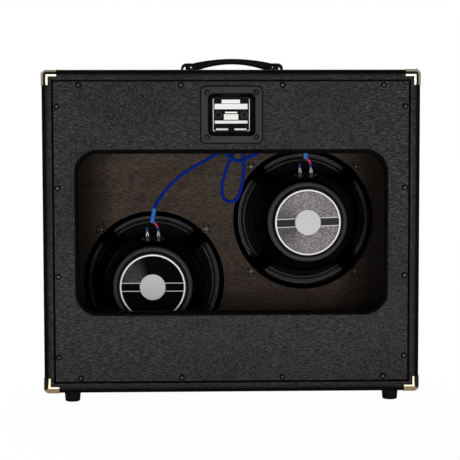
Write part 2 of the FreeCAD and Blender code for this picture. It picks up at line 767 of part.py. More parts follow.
def grille_pads():
    """Hook-and-loop pads between the baffle and the grille frame."""
    y = (GRILLE_REAR, BAFFLE_FRONT)
    middle = (FRAME_LOW + FRAME_HIGH) / 2
    pads = []
    for x in spread(-FRAME_X + PAD_END, FRAME_X - PAD_END, PAD_ROW_COUNT):
        for z in (FRAME_LOW + PAD_WIDTH, FRAME_HIGH - PAD_WIDTH):
            pads.append(box((x - PAD_LENGTH / 2, x + PAD_LENGTH / 2), y,
                            (z - PAD_WIDTH / 2, z + PAD_WIDTH / 2)))
    for sx in SIDES:
        x = sx * (FRAME_X - PAD_WIDTH / 2)
        pads.append(box((x - PAD_WIDTH / 2, x + PAD_WIDTH / 2), y,
                        (middle - PAD_LENGTH / 2, middle + PAD_LENGTH / 2)))
    return group(pads)


# Back panel

def panel_block(skin):
    """Back panel with its opening rounded towards the rear; skin is 0 for the core, 1 with vinyl."""
    cover = VINYL * skin
    x = INNER_X - PANEL_GAP - VINYL + cover
    z = (INNER_LOW + PANEL_GAP + VINYL - cover, INNER_HIGH - PANEL_GAP - VINYL + cover)
    rear = PANEL_CORE_REAR + cover
    thick = rear - PANEL_FRONT
    block = box((-x, x), (PANEL_FRONT, rear), z)
    rim = [e for e in block.Edges if min(v.Y for v in e.Vertexes) > rear - 1e-6]
    block = block.makeFillet(PANEL_EDGE_ROUND - VINYL + cover, rim)
    draw = 2 * (VINYL - cover)
    mouth = rounded_rectangle(OPENING_WIDTH + draw, OPENING_HEIGHT + draw, OPENING_CORNER + draw / 2,
                              PANEL_FRONT, OPENING_Z)
    block = block.cut(prism(mouth, thick))
    edges = [e for e in block.Edges
             if min(v.Y for v in e.Vertexes) > rear - 1e-6 and on_opening(e, draw)]
    block = block.makeFillet(OPENING_ROUND - VINYL + cover, edges)
    cut = rounded_rectangle(
        DISH_MOUTH_WIDTH + 2 * (DISH_WALL + DISH_CUTOUT_GAP),
        DISH_MOUTH_HEIGHT + 2 * (DISH_WALL + DISH_CUTOUT_GAP),
        DISH_MOUTH_CORNER + DISH_WALL + DISH_CUTOUT_GAP, PANEL_FRONT, PLATE_Z)
    block = block.cut(prism(cut, thick))
    return block.cut(group(panel_screws(SCREW_FIT) + plate_screws(SCREW_FIT)))


def on_opening(edge, draw):
    """Whether an edge of the panel's rear face runs round the opening."""
    at = edge.valueAt((edge.FirstParameter + edge.LastParameter) / 2)
    inside_x = abs(at.x) < (OPENING_WIDTH + draw) / 2 + 1e-3
    return inside_x and abs(at.z - OPENING_Z) < (OPENING_HEIGHT + draw) / 2 + 1e-3


def back_panel_covering():
    """Vinyl over the back panel's rear, its edges and the rounding of its opening."""
    return panel_block(1).cut(panel_block(0))


def panel_screw_places():
    """Screws along the four edges of the back panel, in the middle of the battens."""
    row_x = spread(-INNER_X + ROW_SCREW_END, INNER_X - ROW_SCREW_END, ROW_SCREW_COUNT)
    places = [(x, z) for x in row_x for z in (INNER_LOW + BATTEN / 2, INNER_HIGH - BATTEN / 2)]
    middle = (INNER_LOW + INNER_HIGH) / 2
    outer = INNER_HIGH - COLUMN_SCREW_END - middle
    column = [s * d for s in SIDES for d in (COLUMN_SCREW_INNER, outer)]
    places += [(sx * (INNER_X - BATTEN / 2), middle + dz) for sx in SIDES for dz in column]
    return places


def panel_screws(grow=0):
    """Back panel screws, whose heads sit in cup washers."""
    screw = domed_screw(PANEL_SCREW_RADIUS + grow, PANEL_SCREW_LENGTH + WASHER_HEIGHT + grow,
                        PANEL_SCREW_HEAD_RADIUS, PANEL_SCREW_HEAD)
    return [moved(screw, x, PANEL_REAR + WASHER_HEIGHT, z) for x, z in panel_screw_places()]


def panel_washers():
    """Raised cup washers under the back panel screws."""
    hole = PANEL_SCREW_RADIUS + SCREW_FIT
    rim = PANEL_SCREW_HEAD_RADIUS + WASHER_LIP
    slope = ((WASHER_RADIUS + rim) / 2, WASHER_CROWN)
    washer = turned(profile((hole, 0), (WASHER_RADIUS, 0), (slope, (rim, WASHER_HEIGHT)),
                            (hole, WASHER_HEIGHT)))
    return group(moved(washer, x, PANEL_REAR, z) for x, z in panel_screw_places())


# Jack plate and jacks

def jack_plate():
    """Moulded dish: a flange on the panel, sloping walls and a floor with two jack holes."""
    outline = rounded_rectangle(PLATE_WIDTH, PLATE_HEIGHT, PLATE_CORNER, PANEL_REAR, PLATE_Z)
    flange = prism(outline, PLATE_THICK)
    rim = [e for e in flange.Edges if min(v.Y for v in e.Vertexes) > PLATE_REAR - 1e-6]
    flange = flange.makeFillet(PLATE_EDGE_ROUND, rim)
    bowl = frustum([
        rounded_rectangle(DISH_MOUTH_WIDTH + 2 * DISH_WALL, DISH_MOUTH_HEIGHT + 2 * DISH_WALL,
                          DISH_MOUTH_CORNER + DISH_WALL, PANEL_REAR, PLATE_Z),
        rounded_rectangle(DISH_FLOOR_WIDTH + 2 * DISH_WALL, DISH_FLOOR_HEIGHT + 2 * DISH_WALL,
                          DISH_FLOOR_CORNER + DISH_WALL, DISH_UNDER_Y, PLATE_Z)])
    mouth = rounded_rectangle(DISH_MOUTH_WIDTH, DISH_MOUTH_HEIGHT, DISH_MOUTH_CORNER,
                              PLATE_REAR - DISH_FLARE, PLATE_Z)
    flare = rounded_rectangle(DISH_MOUTH_WIDTH + 2 * DISH_FLARE, DISH_MOUTH_HEIGHT + 2 * DISH_FLARE,
                              DISH_MOUTH_CORNER + DISH_FLARE, PLATE_REAR, PLATE_Z)
    floor = rounded_rectangle(DISH_FLOOR_WIDTH, DISH_FLOOR_HEIGHT, DISH_FLOOR_CORNER, DISH_FLOOR_Y, PLATE_Z)
    dish = flange.fuse(bowl).cut(frustum([flare, mouth])).cut(frustum([mouth, floor]))
    holes = [rod_y(sx * JACK_X, PLATE_Z, JACK_BUSH_RADIUS + JACK_BUSH_FIT, (DISH_UNDER_Y, DISH_FLOOR_Y))
             for sx in SIDES]
    return dish.cut(group(holes + plate_screws(SCREW_FIT)))


def plate_screws(grow=0):
    """Screws at the corners of the jack plate."""
    screw = domed_screw(PLATE_SCREW_RADIUS + grow, PLATE_SCREW_LENGTH + PLATE_THICK + grow,
                        PLATE_SCREW_HEAD_RADIUS, PLATE_SCREW_HEAD)
    return [moved(screw, sx * PLATE_SCREW_X, PLATE_REAR, PLATE_Z + sz * PLATE_SCREW_Z)
            for sx in SIDES for sz in SIDES]


def jack(x):
    """Jack socket: a closed body behind the dish and a bush through its floor, bored for the plug."""
    z = PLATE_Z
    body = rounded_box((x - JACK_BODY_WIDTH / 2, x + JACK_BODY_WIDTH / 2), (JACK_BODY_FRONT, DISH_UNDER_Y),
                       (z - JACK_BODY_HEIGHT / 2, z + JACK_BODY_HEIGHT / 2), JACK_BODY_ROUND)
    bush_end = DISH_FLOOR_Y + JACK_BUSH_STAND
    bush = rod_y(x, z, JACK_BUSH_RADIUS, (DISH_UNDER_Y - JACK_BODY_ROUND, bush_end))
    bore = rod_y(x, z, JACK_BORE_RADIUS, (JACK_BODY_FRONT + JACK_BODY_END, bush_end))
    return body.fuse(bush).cut(bore)


def jack_nuts():
    """Round nuts that clamp the jacks to the dish's floor."""
    r = JACK_NUT_RADIUS
    k = JACK_NUT / 3
    hole = JACK_BUSH_RADIUS + SCREW_FIT
    m = k * (1 - math.sqrt(0.5))
    nut = turned(profile((hole, 0), (r, 0), (r, JACK_NUT - k), ((r - m, JACK_NUT - m), (r - k, JACK_NUT)),
                         (hole, JACK_NUT)))
    return group(moved(nut, sx * JACK_X, DISH_FLOOR_Y, PLATE_Z) for sx in SIDES)


def jack_lugs():
    """Solder lugs, two above the cable and two below it on each jack."""
    lugs = []
    for sx in SIDES:
        for sz in SIDES:
            z = PLATE_Z + sz * (CABLE_RADIUS + LUG_OFFSET)
            x = sx * JACK_X
            lugs.append(box((x - LUG_WIDTH / 2, x + LUG_WIDTH / 2),
                            (JACK_BODY_FRONT - LUG_LENGTH, JACK_BODY_FRONT),
                            (z - LUG_THICK / 2, z + LUG_THICK / 2)))
    return group(lugs)


# Handle

def handle_strap():
    """Arched strap with a thin slotted tongue at each end, held under the caps."""
    x = STRAP_SHOULDER_X
    end = HANDLE_HALF_LENGTH - CAP_LEG - STRAP_END_GAP
    low = STRAP_TONGUE_LOW
    high = STRAP_TONGUE_HIGH
    top = STRAP_SHOULDER_TOP
    soft = STRAP_SHOULDER_ROUND
    k = soft * (1 - math.sqrt(0.5))
    face = profile(
        (-end, low), (-end, high), (-x, high), (-x, top - soft), ((-x + k, top - k), (-x + soft, top)),
        ((0, STRAP_APEX), (x - soft, top)), ((x - k, top - k), (x, top - soft)),
        (x, high), (end, high), (end, low), (x, low), ((0, STRAP_UNDER_APEX), (-x, low)))
    strap = slab(face, HANDLE_WIDTH)
    long_edges = [e for e in strap.Edges
                  if e.Length > x and abs(abs(e.Vertexes[0].Y) - HANDLE_WIDTH / 2) < 1e-6]
    strap = strap.makeFillet(STRAP_EDGE_ROUND, long_edges)
    slots = [rod_z(sx * CAP_POST_X, 0, CAP_POST_RADIUS + TONGUE_SLOT_GAP, (0, STRAP_APEX)) for sx in SIDES]
    return moved(strap.cut(group(slots)), HANDLE_X, 0, BOX_HIGH)


def handle_caps():
    """Arched end caps: an outer leg, a top over the strap's tongue and a post through its slot."""
    half = HANDLE_HALF_LENGTH
    inner = CAP_INNER_X
    k = CAP_ROUND * (1 - math.sqrt(0.5))
    inside = CAP_ROUND - CAP_LEG
    m = inside * (1 - math.sqrt(0.5))
    leg = half - CAP_LEG
    face = profile(
        (leg, 0), (half, 0), (half, CAP_TOP - CAP_ROUND),
        ((half - k, CAP_TOP - k), (half - CAP_ROUND, CAP_TOP)), (inner, CAP_TOP), (inner, CAP_UNDER),
        (leg - inside, CAP_UNDER), ((leg - m, CAP_UNDER - m), (leg, CAP_UNDER - inside)))
    cap = slab(face, HANDLE_WIDTH).fuse(rod_z(CAP_POST_X, 0, CAP_POST_RADIUS, (0, CAP_UNDER)))
    caps = [cap, cap.mirror(V(0, 0, 0), V(1, 0, 0))]
    holes = group(handle_screws(SCREW_FIT))
    return group(moved(c, HANDLE_X, 0, BOX_HIGH).cut(holes) for c in caps)


def handle_screws(grow=0):
    """Countersunk screws down through the caps' posts into the top board."""
    screw = upright(flat_screw(HANDLE_SCREW_RADIUS + grow, CAP_TOP + HANDLE_SCREW_GRIP + grow,
                               HANDLE_SCREW_HEAD_RADIUS + grow, HANDLE_SCREW_HEAD))
    return [moved(screw, HANDLE_X + sx * CAP_POST_X, 0, BOX_HIGH + CAP_TOP) for sx in SIDES]


# Driver pieces, made about the Y axis with y = 0 at the baffle's front face, then put in place

def place(shape, name):
    """Put a driver's piece at its cut-out in the baffle."""
    x, z = DRIVERS[name]
    return moved(shape, x, BAFFLE_FRONT, z)


def both(shape):
    """The same piece at both drivers."""
    return group(place(shape, name) for name in DRIVERS)


def round_places(radius, count, first):
    """Places round a circle in XZ."""
    step = 2 * math.pi / count
    return [(radius * math.cos(first + i * step), radius * math.sin(first + i * step)) for i in range(count)]


def bolt_places():
    """Every driver bolt of the cabinet."""
    around = round_places(BOLT_CIRCLE_RADIUS, BOLT_COUNT, math.pi / BOLT_COUNT)
    return [(cx + x, cz + z) for cx, cz in DRIVERS.values() for x, z in around]


def basket():
    """Pressed basket: flange, rim, four ribbed legs, spider ledge and motor seat."""
    line = [
        (FLANGE_RADIUS, -BASKET_SHEET, 0), (RIM_RADIUS, -BASKET_SHEET, 0), (RIM_REAR_RADIUS, RIM_DEPTH, 0),
        (LEDGE_OUTER_RADIUS, LEDGE_DEPTH, 0), (LEDGE_INNER_RADIUS, LEDGE_DEPTH, 0),
        (SEAT_RADIUS, SEAT_DEPTH, 0), (SEAT_HOLE_RADIUS, SEAT_DEPTH, 0)]
    bends = [RIM_BEND, LEG_BEND, LEDGE_BEND, POT_BEND, SEAT_BEND]
    section = bent_line(line, bends).makeOffset2D(BASKET_SHEET, 0, True, True)
    shape = turned(section.Faces[0])
    quarter = 360.0 / LEG_COUNT
    window = basket_window()
    axis = V(0, 1, 0)
    shape = shape.cut([window.rotated(V(0, 0, 0), axis, i * quarter) for i in range(LEG_COUNT)])
    for tool, outside in ((basket_rib(RIB_RADIUS), True), (basket_rib(RIB_RADIUS - BASKET_SHEET), False)):
        turns = [tool.rotated(V(0, 0, 0), axis, (i + 0.5) * quarter) for i in range(LEG_COUNT)]
        shape = shape.fuse(turns) if outside else shape.cut(turns)
    holes = [rod_y(x, z, BOLT_RADIUS + 2 * SCREW_FIT, (-BASKET_SHEET, 0))
             for x, z in round_places(BOLT_CIRCLE_RADIUS, FLANGE_HOLE_COUNT, math.pi / FLANGE_HOLE_COUNT * 2)]
    return shape.cut(group(holes))


def basket_window():
    """Tool for the window about +X, between two straight-sided legs."""
    w = LEG_WIDTH / 2
    angle = math.pi / LEG_COUNT
    inner = LEDGE_OUTER_RADIUS + WINDOW_INNER_GAP
    outer = RIM_REAR_RADIUS + WINDOW_OUTER_GAP

    def corner(radius, side):
        """Where a leg's edge crosses a circle."""
        along = math.sqrt(radius ** 2 - w ** 2)
        x = along * math.cos(angle) + w * math.sin(angle)
        z = along * math.sin(angle) - w * math.cos(angle)
        return V(x, RIM_DEPTH / 2, side * z)

    a, b = corner(outer, -1), corner(outer, 1)
    c, d = corner(inner, 1), corner(inner, -1)
    edges = [
        Part.Arc(a, V(outer, RIM_DEPTH / 2, 0), b).toShape(), Part.LineSegment(b, c).toShape(),
        Part.Arc(c, V(inner, RIM_DEPTH / 2, 0), d).toShape(), Part.LineSegment(d, a).toShape()]
    tool = prism(Part.Wire(edges), LEDGE_DEPTH + BASKET_SHEET - RIM_DEPTH / 2)
    upright_edges = [e for e in tool.Edges if abs(e.tangentAt(e.FirstParameter).y) > 0.99]
    return tool.makeFillet(WINDOW_CORNER, upright_edges)


def basket_rib(radius):
    """Bar with round ends that lies along a leg, in the plane of +X."""
    top = V(RIM_REAR_RADIUS, RIM_DEPTH, 0)
    run = V(LEDGE_OUTER_RADIUS, LEDGE_DEPTH, 0) - top
    first = top + run * RIB_START
    last = top + run * RIB_END
    bar = Part.makeCylinder(radius, (last - first).Length, first, last - first)
    return bar.fuse([Part.makeSphere(radius, first), Part.makeSphere(radius, last)])


def cone_line():
    """Start and steps of the cone's section, from its edge to its neck."""
    edge = SURROUND_INNER_RADIUS - RUN_GAP
    depth = CONE_EDGE + CONE_NECK_DEPTH
    middle = ((edge + FORMER_RADIUS) / 2, (CONE_EDGE + depth) / 2 - CONE_BULGE)
    return (edge, CONE_EDGE), [(middle, (FORMER_RADIUS, depth))]


def cone():
    """Curved paper cone."""
    start, steps = cone_line()
    return sheet_ring(start, steps, CONE_THICK)


def cone_depth(radius):
    """Depth of the cone's front face at a radius."""
    start, steps = cone_line()
    (middle, end), = steps
    arc = Part.Arc(V(*start, 0), V(*middle, 0), V(*end, 0)).toShape()
    cut = Part.LineSegment(V(radius, CONE_EDGE - CONE_BULGE, 0), V(radius, CONE_NECK_DEPTH, 0)).toShape()
    return arc.distToShape(cut)[1][0][0].y


def surround():
    """Corrugated edge between the cone and the flange, glued down outside its rolls."""
    steps = [(SURROUND_OUTER_RADIUS, CONE_EDGE)]
    steps += wave(SURROUND_OUTER_RADIUS, SURROUND_INNER_RADIUS, CONE_EDGE, SURROUND_ROLL_COUNT,
                  SURROUND_ROLL_HEIGHT)
    return sheet_ring((GASKET_OUTER_RADIUS, CONE_EDGE), steps, PAPER)


def gasket():
    """Ring on the surround's glued edge."""
    return ring_y(GASKET_INNER_RADIUS, GASKET_OUTER_RADIUS, (CONE_EDGE - GASKET_THICK, CONE_EDGE))


def dust_cap():
    """Shallow dome over the voice coil."""
    edge = cone_depth(DUST_CAP_RADIUS) - DUST_CAP_SEAT - PAPER
    crown = edge - DUST_CAP_RISE
    out, down = dome(DUST_CAP_RADIUS, DUST_CAP_RISE)
    return turned(profile(
        (0, crown), ((out, crown + down), (DUST_CAP_RADIUS, edge)), (DUST_CAP_RADIUS, edge + PAPER),
        ((out, crown + down + PAPER), (0, crown + PAPER))))


def spider():
    """Corrugated cloth disc that centres the voice coil, glued to the basket's ledge."""
    level = LEDGE_DEPTH - PAPER
    inner = FORMER_RADIUS + RUN_GAP
    steps = [(LEDGE_INNER_RADIUS, level)]
    steps += wave(LEDGE_INNER_RADIUS, inner, level, SPIDER_ROLL_COUNT, SPIDER_ROLL_HEIGHT)
    return sheet_ring((LEDGE_OUTER_RADIUS - LEDGE_BEND, level), steps, PAPER)


def voice_coil():
    """Paper former with its winding in the middle of the magnet's gap."""
    middle = SEAT_REAR + TOP_PLATE / 2
    winding = (middle - COIL_WINDING / 2, middle + COIL_WINDING / 2)
    former = ring_y(COIL_RADIUS, FORMER_RADIUS, (CONE_EDGE + CONE_NECK_DEPTH - CONE_THICK,
                                                winding[1] + COIL_FORMER_END))
    return former.fuse(ring_y(COIL_RADIUS, FORMER_RADIUS + COIL_WIRE, winding)).removeSplitter()


def top_plate():
    """Steel ring whose hole is the outside of the magnet's gap."""
    return ring_y(GAP_OUTER_RADIUS, TOP_PLATE_RADIUS, (SEAT_REAR, TOP_PLATE_REAR))


def magnet():
    """Ferrite ring with chamfered outside edges."""
    c = MAGNET_CHAMFER
    r = MAGNET_RADIUS
    return turned(profile(
        (MAGNET_BORE_RADIUS, TOP_PLATE_REAR), (r - c, TOP_PLATE_REAR), (r, TOP_PLATE_REAR + c),
        (r, MAGNET_REAR - c), (r - c, MAGNET_REAR), (MAGNET_BORE_RADIUS, MAGNET_REAR)))


def back_plate():
    """Back plate and vented pole in one turned piece."""
    c = BACK_PLATE_CHAMFER
    r = BACK_PLATE_RADIUS
    return turned(profile(
        (VENT_RADIUS, SEAT_REAR), (POLE_RADIUS, SEAT_REAR), (POLE_RADIUS, MAGNET_REAR), (r, MAGNET_REAR),
        (r, BACK_PLATE_REAR - c), (r - c, BACK_PLATE_REAR), (VENT_RADIUS, BACK_PLATE_REAR)))


def driver_label():
    """Printed disc on the back plate, open for the vent cap."""
    return ring_y(VENT_CAP_RADIUS + RUN_GAP, LABEL_RADIUS, (BACK_PLATE_REAR, BACK_PLATE_REAR + LABEL))


def vent_cap():
    """Metal cap over the pole's vent."""
    r = VENT_CAP_RADIUS
    e = VENT_CAP_ROUND
    k = e * (1 - math.sqrt(0.5))
    low = BACK_PLATE_REAR
    high = low + VENT_CAP
    return turned(profile((0, low), (r, low), (r, high - e), ((r - k, high - k), (r - e, high)), (0, high)))


def driver_bolts():
    """Bolts from the front through the flange and the baffle into the tee nuts."""
    length = BASKET_SHEET + BAFFLE + TEE_FLANGE + BOLT_END
    bolt = facing_front(domed_screw(BOLT_RADIUS, length, BOLT_HEAD_RADIUS, BOLT_HEAD))
    return group(moved(bolt, x, BAFFLE_FRONT - BASKET_SHEET, z) for x, z in bolt_places())


def tee_nuts():
    """Flanged nuts driven into the baffle's back."""
    hole = BOLT_RADIUS + SCREW_FIT
    nut = turned(profile((hole, -TEE_BARREL_LENGTH), (TEE_BARREL_RADIUS, -TEE_BARREL_LENGTH),
                         (TEE_BARREL_RADIUS, 0), (TEE_RADIUS, 0), (TEE_RADIUS, TEE_FLANGE),
                         (hole, TEE_FLANGE)))
    return group(moved(nut, x, BAFFLE_REAR, z) for x, z in bolt_places())


# Terminals

def terminal_strip():
    """Insulating board on the basket's ledge, above the motor."""
    low = LEDGE_INNER_RADIUS + STRIP_INNER_GAP
    high = LEDGE_OUTER_RADIUS
    wire = rounded_rectangle(STRIP_WIDTH, high - low, STRIP_CORNER, STRIP_FRONT, (low + high) / 2)
    return prism(wire, STRIP_THICK)


def terminal_tab(x):
    """Riveted tab that steps up off the board and points away from the motor."""
    start = TAB_RIVET_AT - TAB_BASE
    step = TAB_RIVET_AT + TAB_RIVET_RADIUS
    t = TAB_THICK
    low = STRIP_REAR
    tip = start + TAB_BASE + TAB_LENGTH
    face = profile((start, low), (step, low), (step + t, TAB_LEVEL - t), (tip, TAB_LEVEL - t),
                   (tip, TAB_LEVEL), (step, TAB_LEVEL), (step - t, low + t), (start, low + t))
    strip = face.extrude(V(0, 0, TAB_WIDTH))
    strip = strip.rotated(V(0, 0, 0), V(0, 1, 0), -90)
    strip = moved(strip, x + TAB_WIDTH / 2, 0, 0)
    return strip.fuse(rod_y(x, TAB_RIVET_AT, TAB_RIVET_RADIUS, (low, low + t + TAB_RIVET_HEIGHT)))


def tabs():
    """The four terminal tabs."""
    pair = [terminal_tab(s * TAB_SPACING / 2) for s in SIDES]
    return group(place(t, name) for name in DRIVERS for t in pair)


def push_on_connector(x):
    """Push-on connector over a tab, with a crimp barrel at its top."""
    middle = TAB_LEVEL - TAB_THICK / 2
    half = TAB_THICK / 2 + PUSH_ON_SLOT_GAP
    wide = TAB_WIDTH / 2 + PUSH_ON_SLOT_GAP
    y = (middle - PUSH_ON_HEIGHT / 2, middle + PUSH_ON_HEIGHT / 2)
    shell = box((x - PUSH_ON_WIDTH / 2, x + PUSH_ON_WIDTH / 2), y, (PUSH_ON_LOW, PUSH_ON_HIGH))
    slot = box((x - wide, x + wide), (middle - half, middle + half), (PUSH_ON_LOW, PUSH_ON_HIGH))
    barrel = rod_z(x, middle, PUSH_ON_BARREL_RADIUS, (PUSH_ON_HIGH, PUSH_ON_HIGH + PUSH_ON_BARREL))
    return shell.cut(slot).fuse(barrel)


def push_on_connectors():
    """The four push-on connectors."""
    pair = [push_on_connector(s * TAB_SPACING / 2) for s in SIDES]
    return group(place(c, name) for name in DRIVERS for c in pair)


def connector_sleeves():
    """Insulating sleeves over the crimps and the ends of the leads."""
    middle = TAB_LEVEL - TAB_THICK / 2
    z = (SLEEVE_LOW, SLEEVE_HIGH)
    sleeves = []
    for name in DRIVERS:
        for s in SIDES:
            x = s * TAB_SPACING / 2
            sleeve = rod_z(x, middle, SLEEVE_RADIUS, z).cut(rod_z(x, middle, PUSH_ON_BARREL_RADIUS, z))
            sleeves.append(place(sleeve, name))
    return group(sleeves)


# Cables

def boot(start, end):
    """Sleeve where a cable splits into its two leads."""
    run = V(*end) - V(*start)
    along = V(run).normalize()
    first = V(*start) + along * BOOT_GAP
    return Part.makeCone(BOOT_RADIUS, BOOT_SPLIT_RADIUS, run.Length - BOOT_GAP, first, along)


def lead(name, boot_end, side):
    """Single lead from a boot to one connector of a driver."""
    cx, cz = DRIVERS[name]
    x, y, z = boot_end
    tip_x = cx + side * TAB_SPACING / 2
    tip_y = BAFFLE_FRONT + TAB_LEVEL - TAB_THICK / 2
    top = cz + SLEEVE_HIGH
    bottom = cz + PUSH_ON_HIGH + PUSH_ON_BARREL + SLEEVE_GAP
    points = [
        (x + side * LEAD_SPREAD, y - LEAD_DROP, z - LEAD_DROP),
        ((x + side * LEAD_SPREAD + tip_x) / 2, (y + tip_y) / 2 + LEAD_DROP, (z + top) / 2 + LEAD_DROP),
        (tip_x, tip_y, top + LEAD_RISE), (tip_x, tip_y, bottom)]
    return cord(name + " lead", points, LEAD_RADIUS)


def leads(side):
    """The leads of one colour, both on the same side of their driver."""
    ends = {"upper": UPPER_BOOT_END, "lower": LOWER_BOOT_END}
    return group(lead(name, end, side) for name, end in ends.items())


def pieces():
    """Every piece of the cabinet by name."""
    made = dict(boards())
    made["shell_covering"] = shell_covering()
    made["corner_protectors"] = corner_protectors()
    made["feet"] = feet()
    made["foot_screws"] = group(foot_screws())
    made["baffle_battens"] = baffle_battens()
    made["rear_battens"] = rear_battens()
    made["baffle_board"] = baffle_board()
    made["baffle_screws"] = group(baffle_screws())
    made["grille_frame"] = grille_frame()
    made["grille_cloth"] = grille_cloth()
    made["grille_pads"] = grille_pads()
    made["back_panel"] = panel_block(0)
    made["back_panel_covering"] = back_panel_covering()
    made["back_panel_screws"] = group(panel_screws())
    made["back_panel_washers"] = panel_washers()
    made["jack_plate"] = jack_plate()
    made["jack_plate_screws"] = group(plate_screws())
    made["left_jack"] = jack(-JACK_X)
    made["right_jack"] = jack(JACK_X)
    made["jack_nuts"] = jack_nuts()
    made["jack_lugs"] = jack_lugs()
    made["handle_strap"] = handle_strap()
    made["handle_caps"] = handle_caps()
    made["handle_screws"] = group(handle_screws())
    shapes = {
        "basket": basket(), "cone": cone(), "surround": surround(), "dust_cap": dust_cap(),
        "spider": spider(), "voice_coil": voice_coil(), "top_plate": top_plate(), "magnet": magnet(),
        "back_plate": back_plate(),
    }
    for name in DRIVERS:
        for kind, shape in shapes.items():
            made[name + "_" + kind] = place(shape, name)
    made["gaskets"] = both(gasket())
    made["driver_labels"] = both(driver_label())
    made["vent_caps"] = both(vent_cap())
    made["driver_bolts"] = driver_bolts()
    made["tee_nuts"] = tee_nuts()
    made["terminal_strips"] = both(terminal_strip())
    made["terminal_tabs"] = tabs()
    made["push_on_connectors"] = push_on_connectors()
    made["connector_sleeves"] = connector_sleeves()
    made["lower_cable"] = cord("lower cable", LOWER_ROUTE, CABLE_RADIUS)
    made["upper_cable"] = cord("upper cable", UPPER_ROUTE, CABLE_RADIUS)
    made["cable_boots"] = group([boot(LOWER_ROUTE[-1], LOWER_BOOT_END),
                                 boot(UPPER_ROUTE[-1], UPPER_BOOT_END)])
    made["red_leads"] = leads(-1)
    made["black_leads"] = leads(1)
    return made


def main():
    """Write one file per piece."""
    os.makedirs("parts", exist_ok=True)
    for name, shape in pieces().items():
        shape.exportStep(os.path.join("parts", name + ".step"))


main()
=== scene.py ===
"""Finishes, cords and studio of an open-back guitar speaker cabinet with two twelve inch drivers.

Everything is in metres, in the cabinet's own frame: +Z up, the grille faces -Y and the open back +Y.
"""

import functools
import itertools
import logging
import math
from dataclasses import dataclass
from enum import Enum, unique
from typing import Iterable, Sequence

import bmesh
import bpy
from bmesh.types import BMEdge, BMesh, BMFace, BMVert
from bpy.types import Material, Node, NodeSocket, NodeTree, Object
from mathutils import Matrix, Vector


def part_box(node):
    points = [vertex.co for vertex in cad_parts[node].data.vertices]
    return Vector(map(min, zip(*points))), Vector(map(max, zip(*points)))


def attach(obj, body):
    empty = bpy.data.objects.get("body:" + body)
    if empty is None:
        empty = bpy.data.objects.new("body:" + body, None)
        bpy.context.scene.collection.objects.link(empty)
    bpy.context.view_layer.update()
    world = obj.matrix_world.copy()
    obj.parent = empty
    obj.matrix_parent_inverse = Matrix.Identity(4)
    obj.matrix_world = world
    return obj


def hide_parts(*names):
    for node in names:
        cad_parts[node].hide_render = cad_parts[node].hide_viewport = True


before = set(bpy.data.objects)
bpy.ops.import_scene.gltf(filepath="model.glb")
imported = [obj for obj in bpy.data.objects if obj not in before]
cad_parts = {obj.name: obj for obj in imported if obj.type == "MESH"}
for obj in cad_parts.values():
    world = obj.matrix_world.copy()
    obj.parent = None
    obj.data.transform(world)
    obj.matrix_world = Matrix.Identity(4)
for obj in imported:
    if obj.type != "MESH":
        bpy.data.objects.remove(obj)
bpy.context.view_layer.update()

log = logging.getLogger("cabinet")

Span = tuple[float, float]
Point = tuple[float, float, float]
Colour = tuple[float, float, float]
Paint = tuple[float, float, float, float]

SIDES = (-1, 1)
REAR = (0, 1, 0)
UP = (0, 0, 1)
DOWN = (0, 0, -1)
SMOOTH_ANGLE = math.radians(38)
TOUCHING = 1e-7


# Building materials node by node

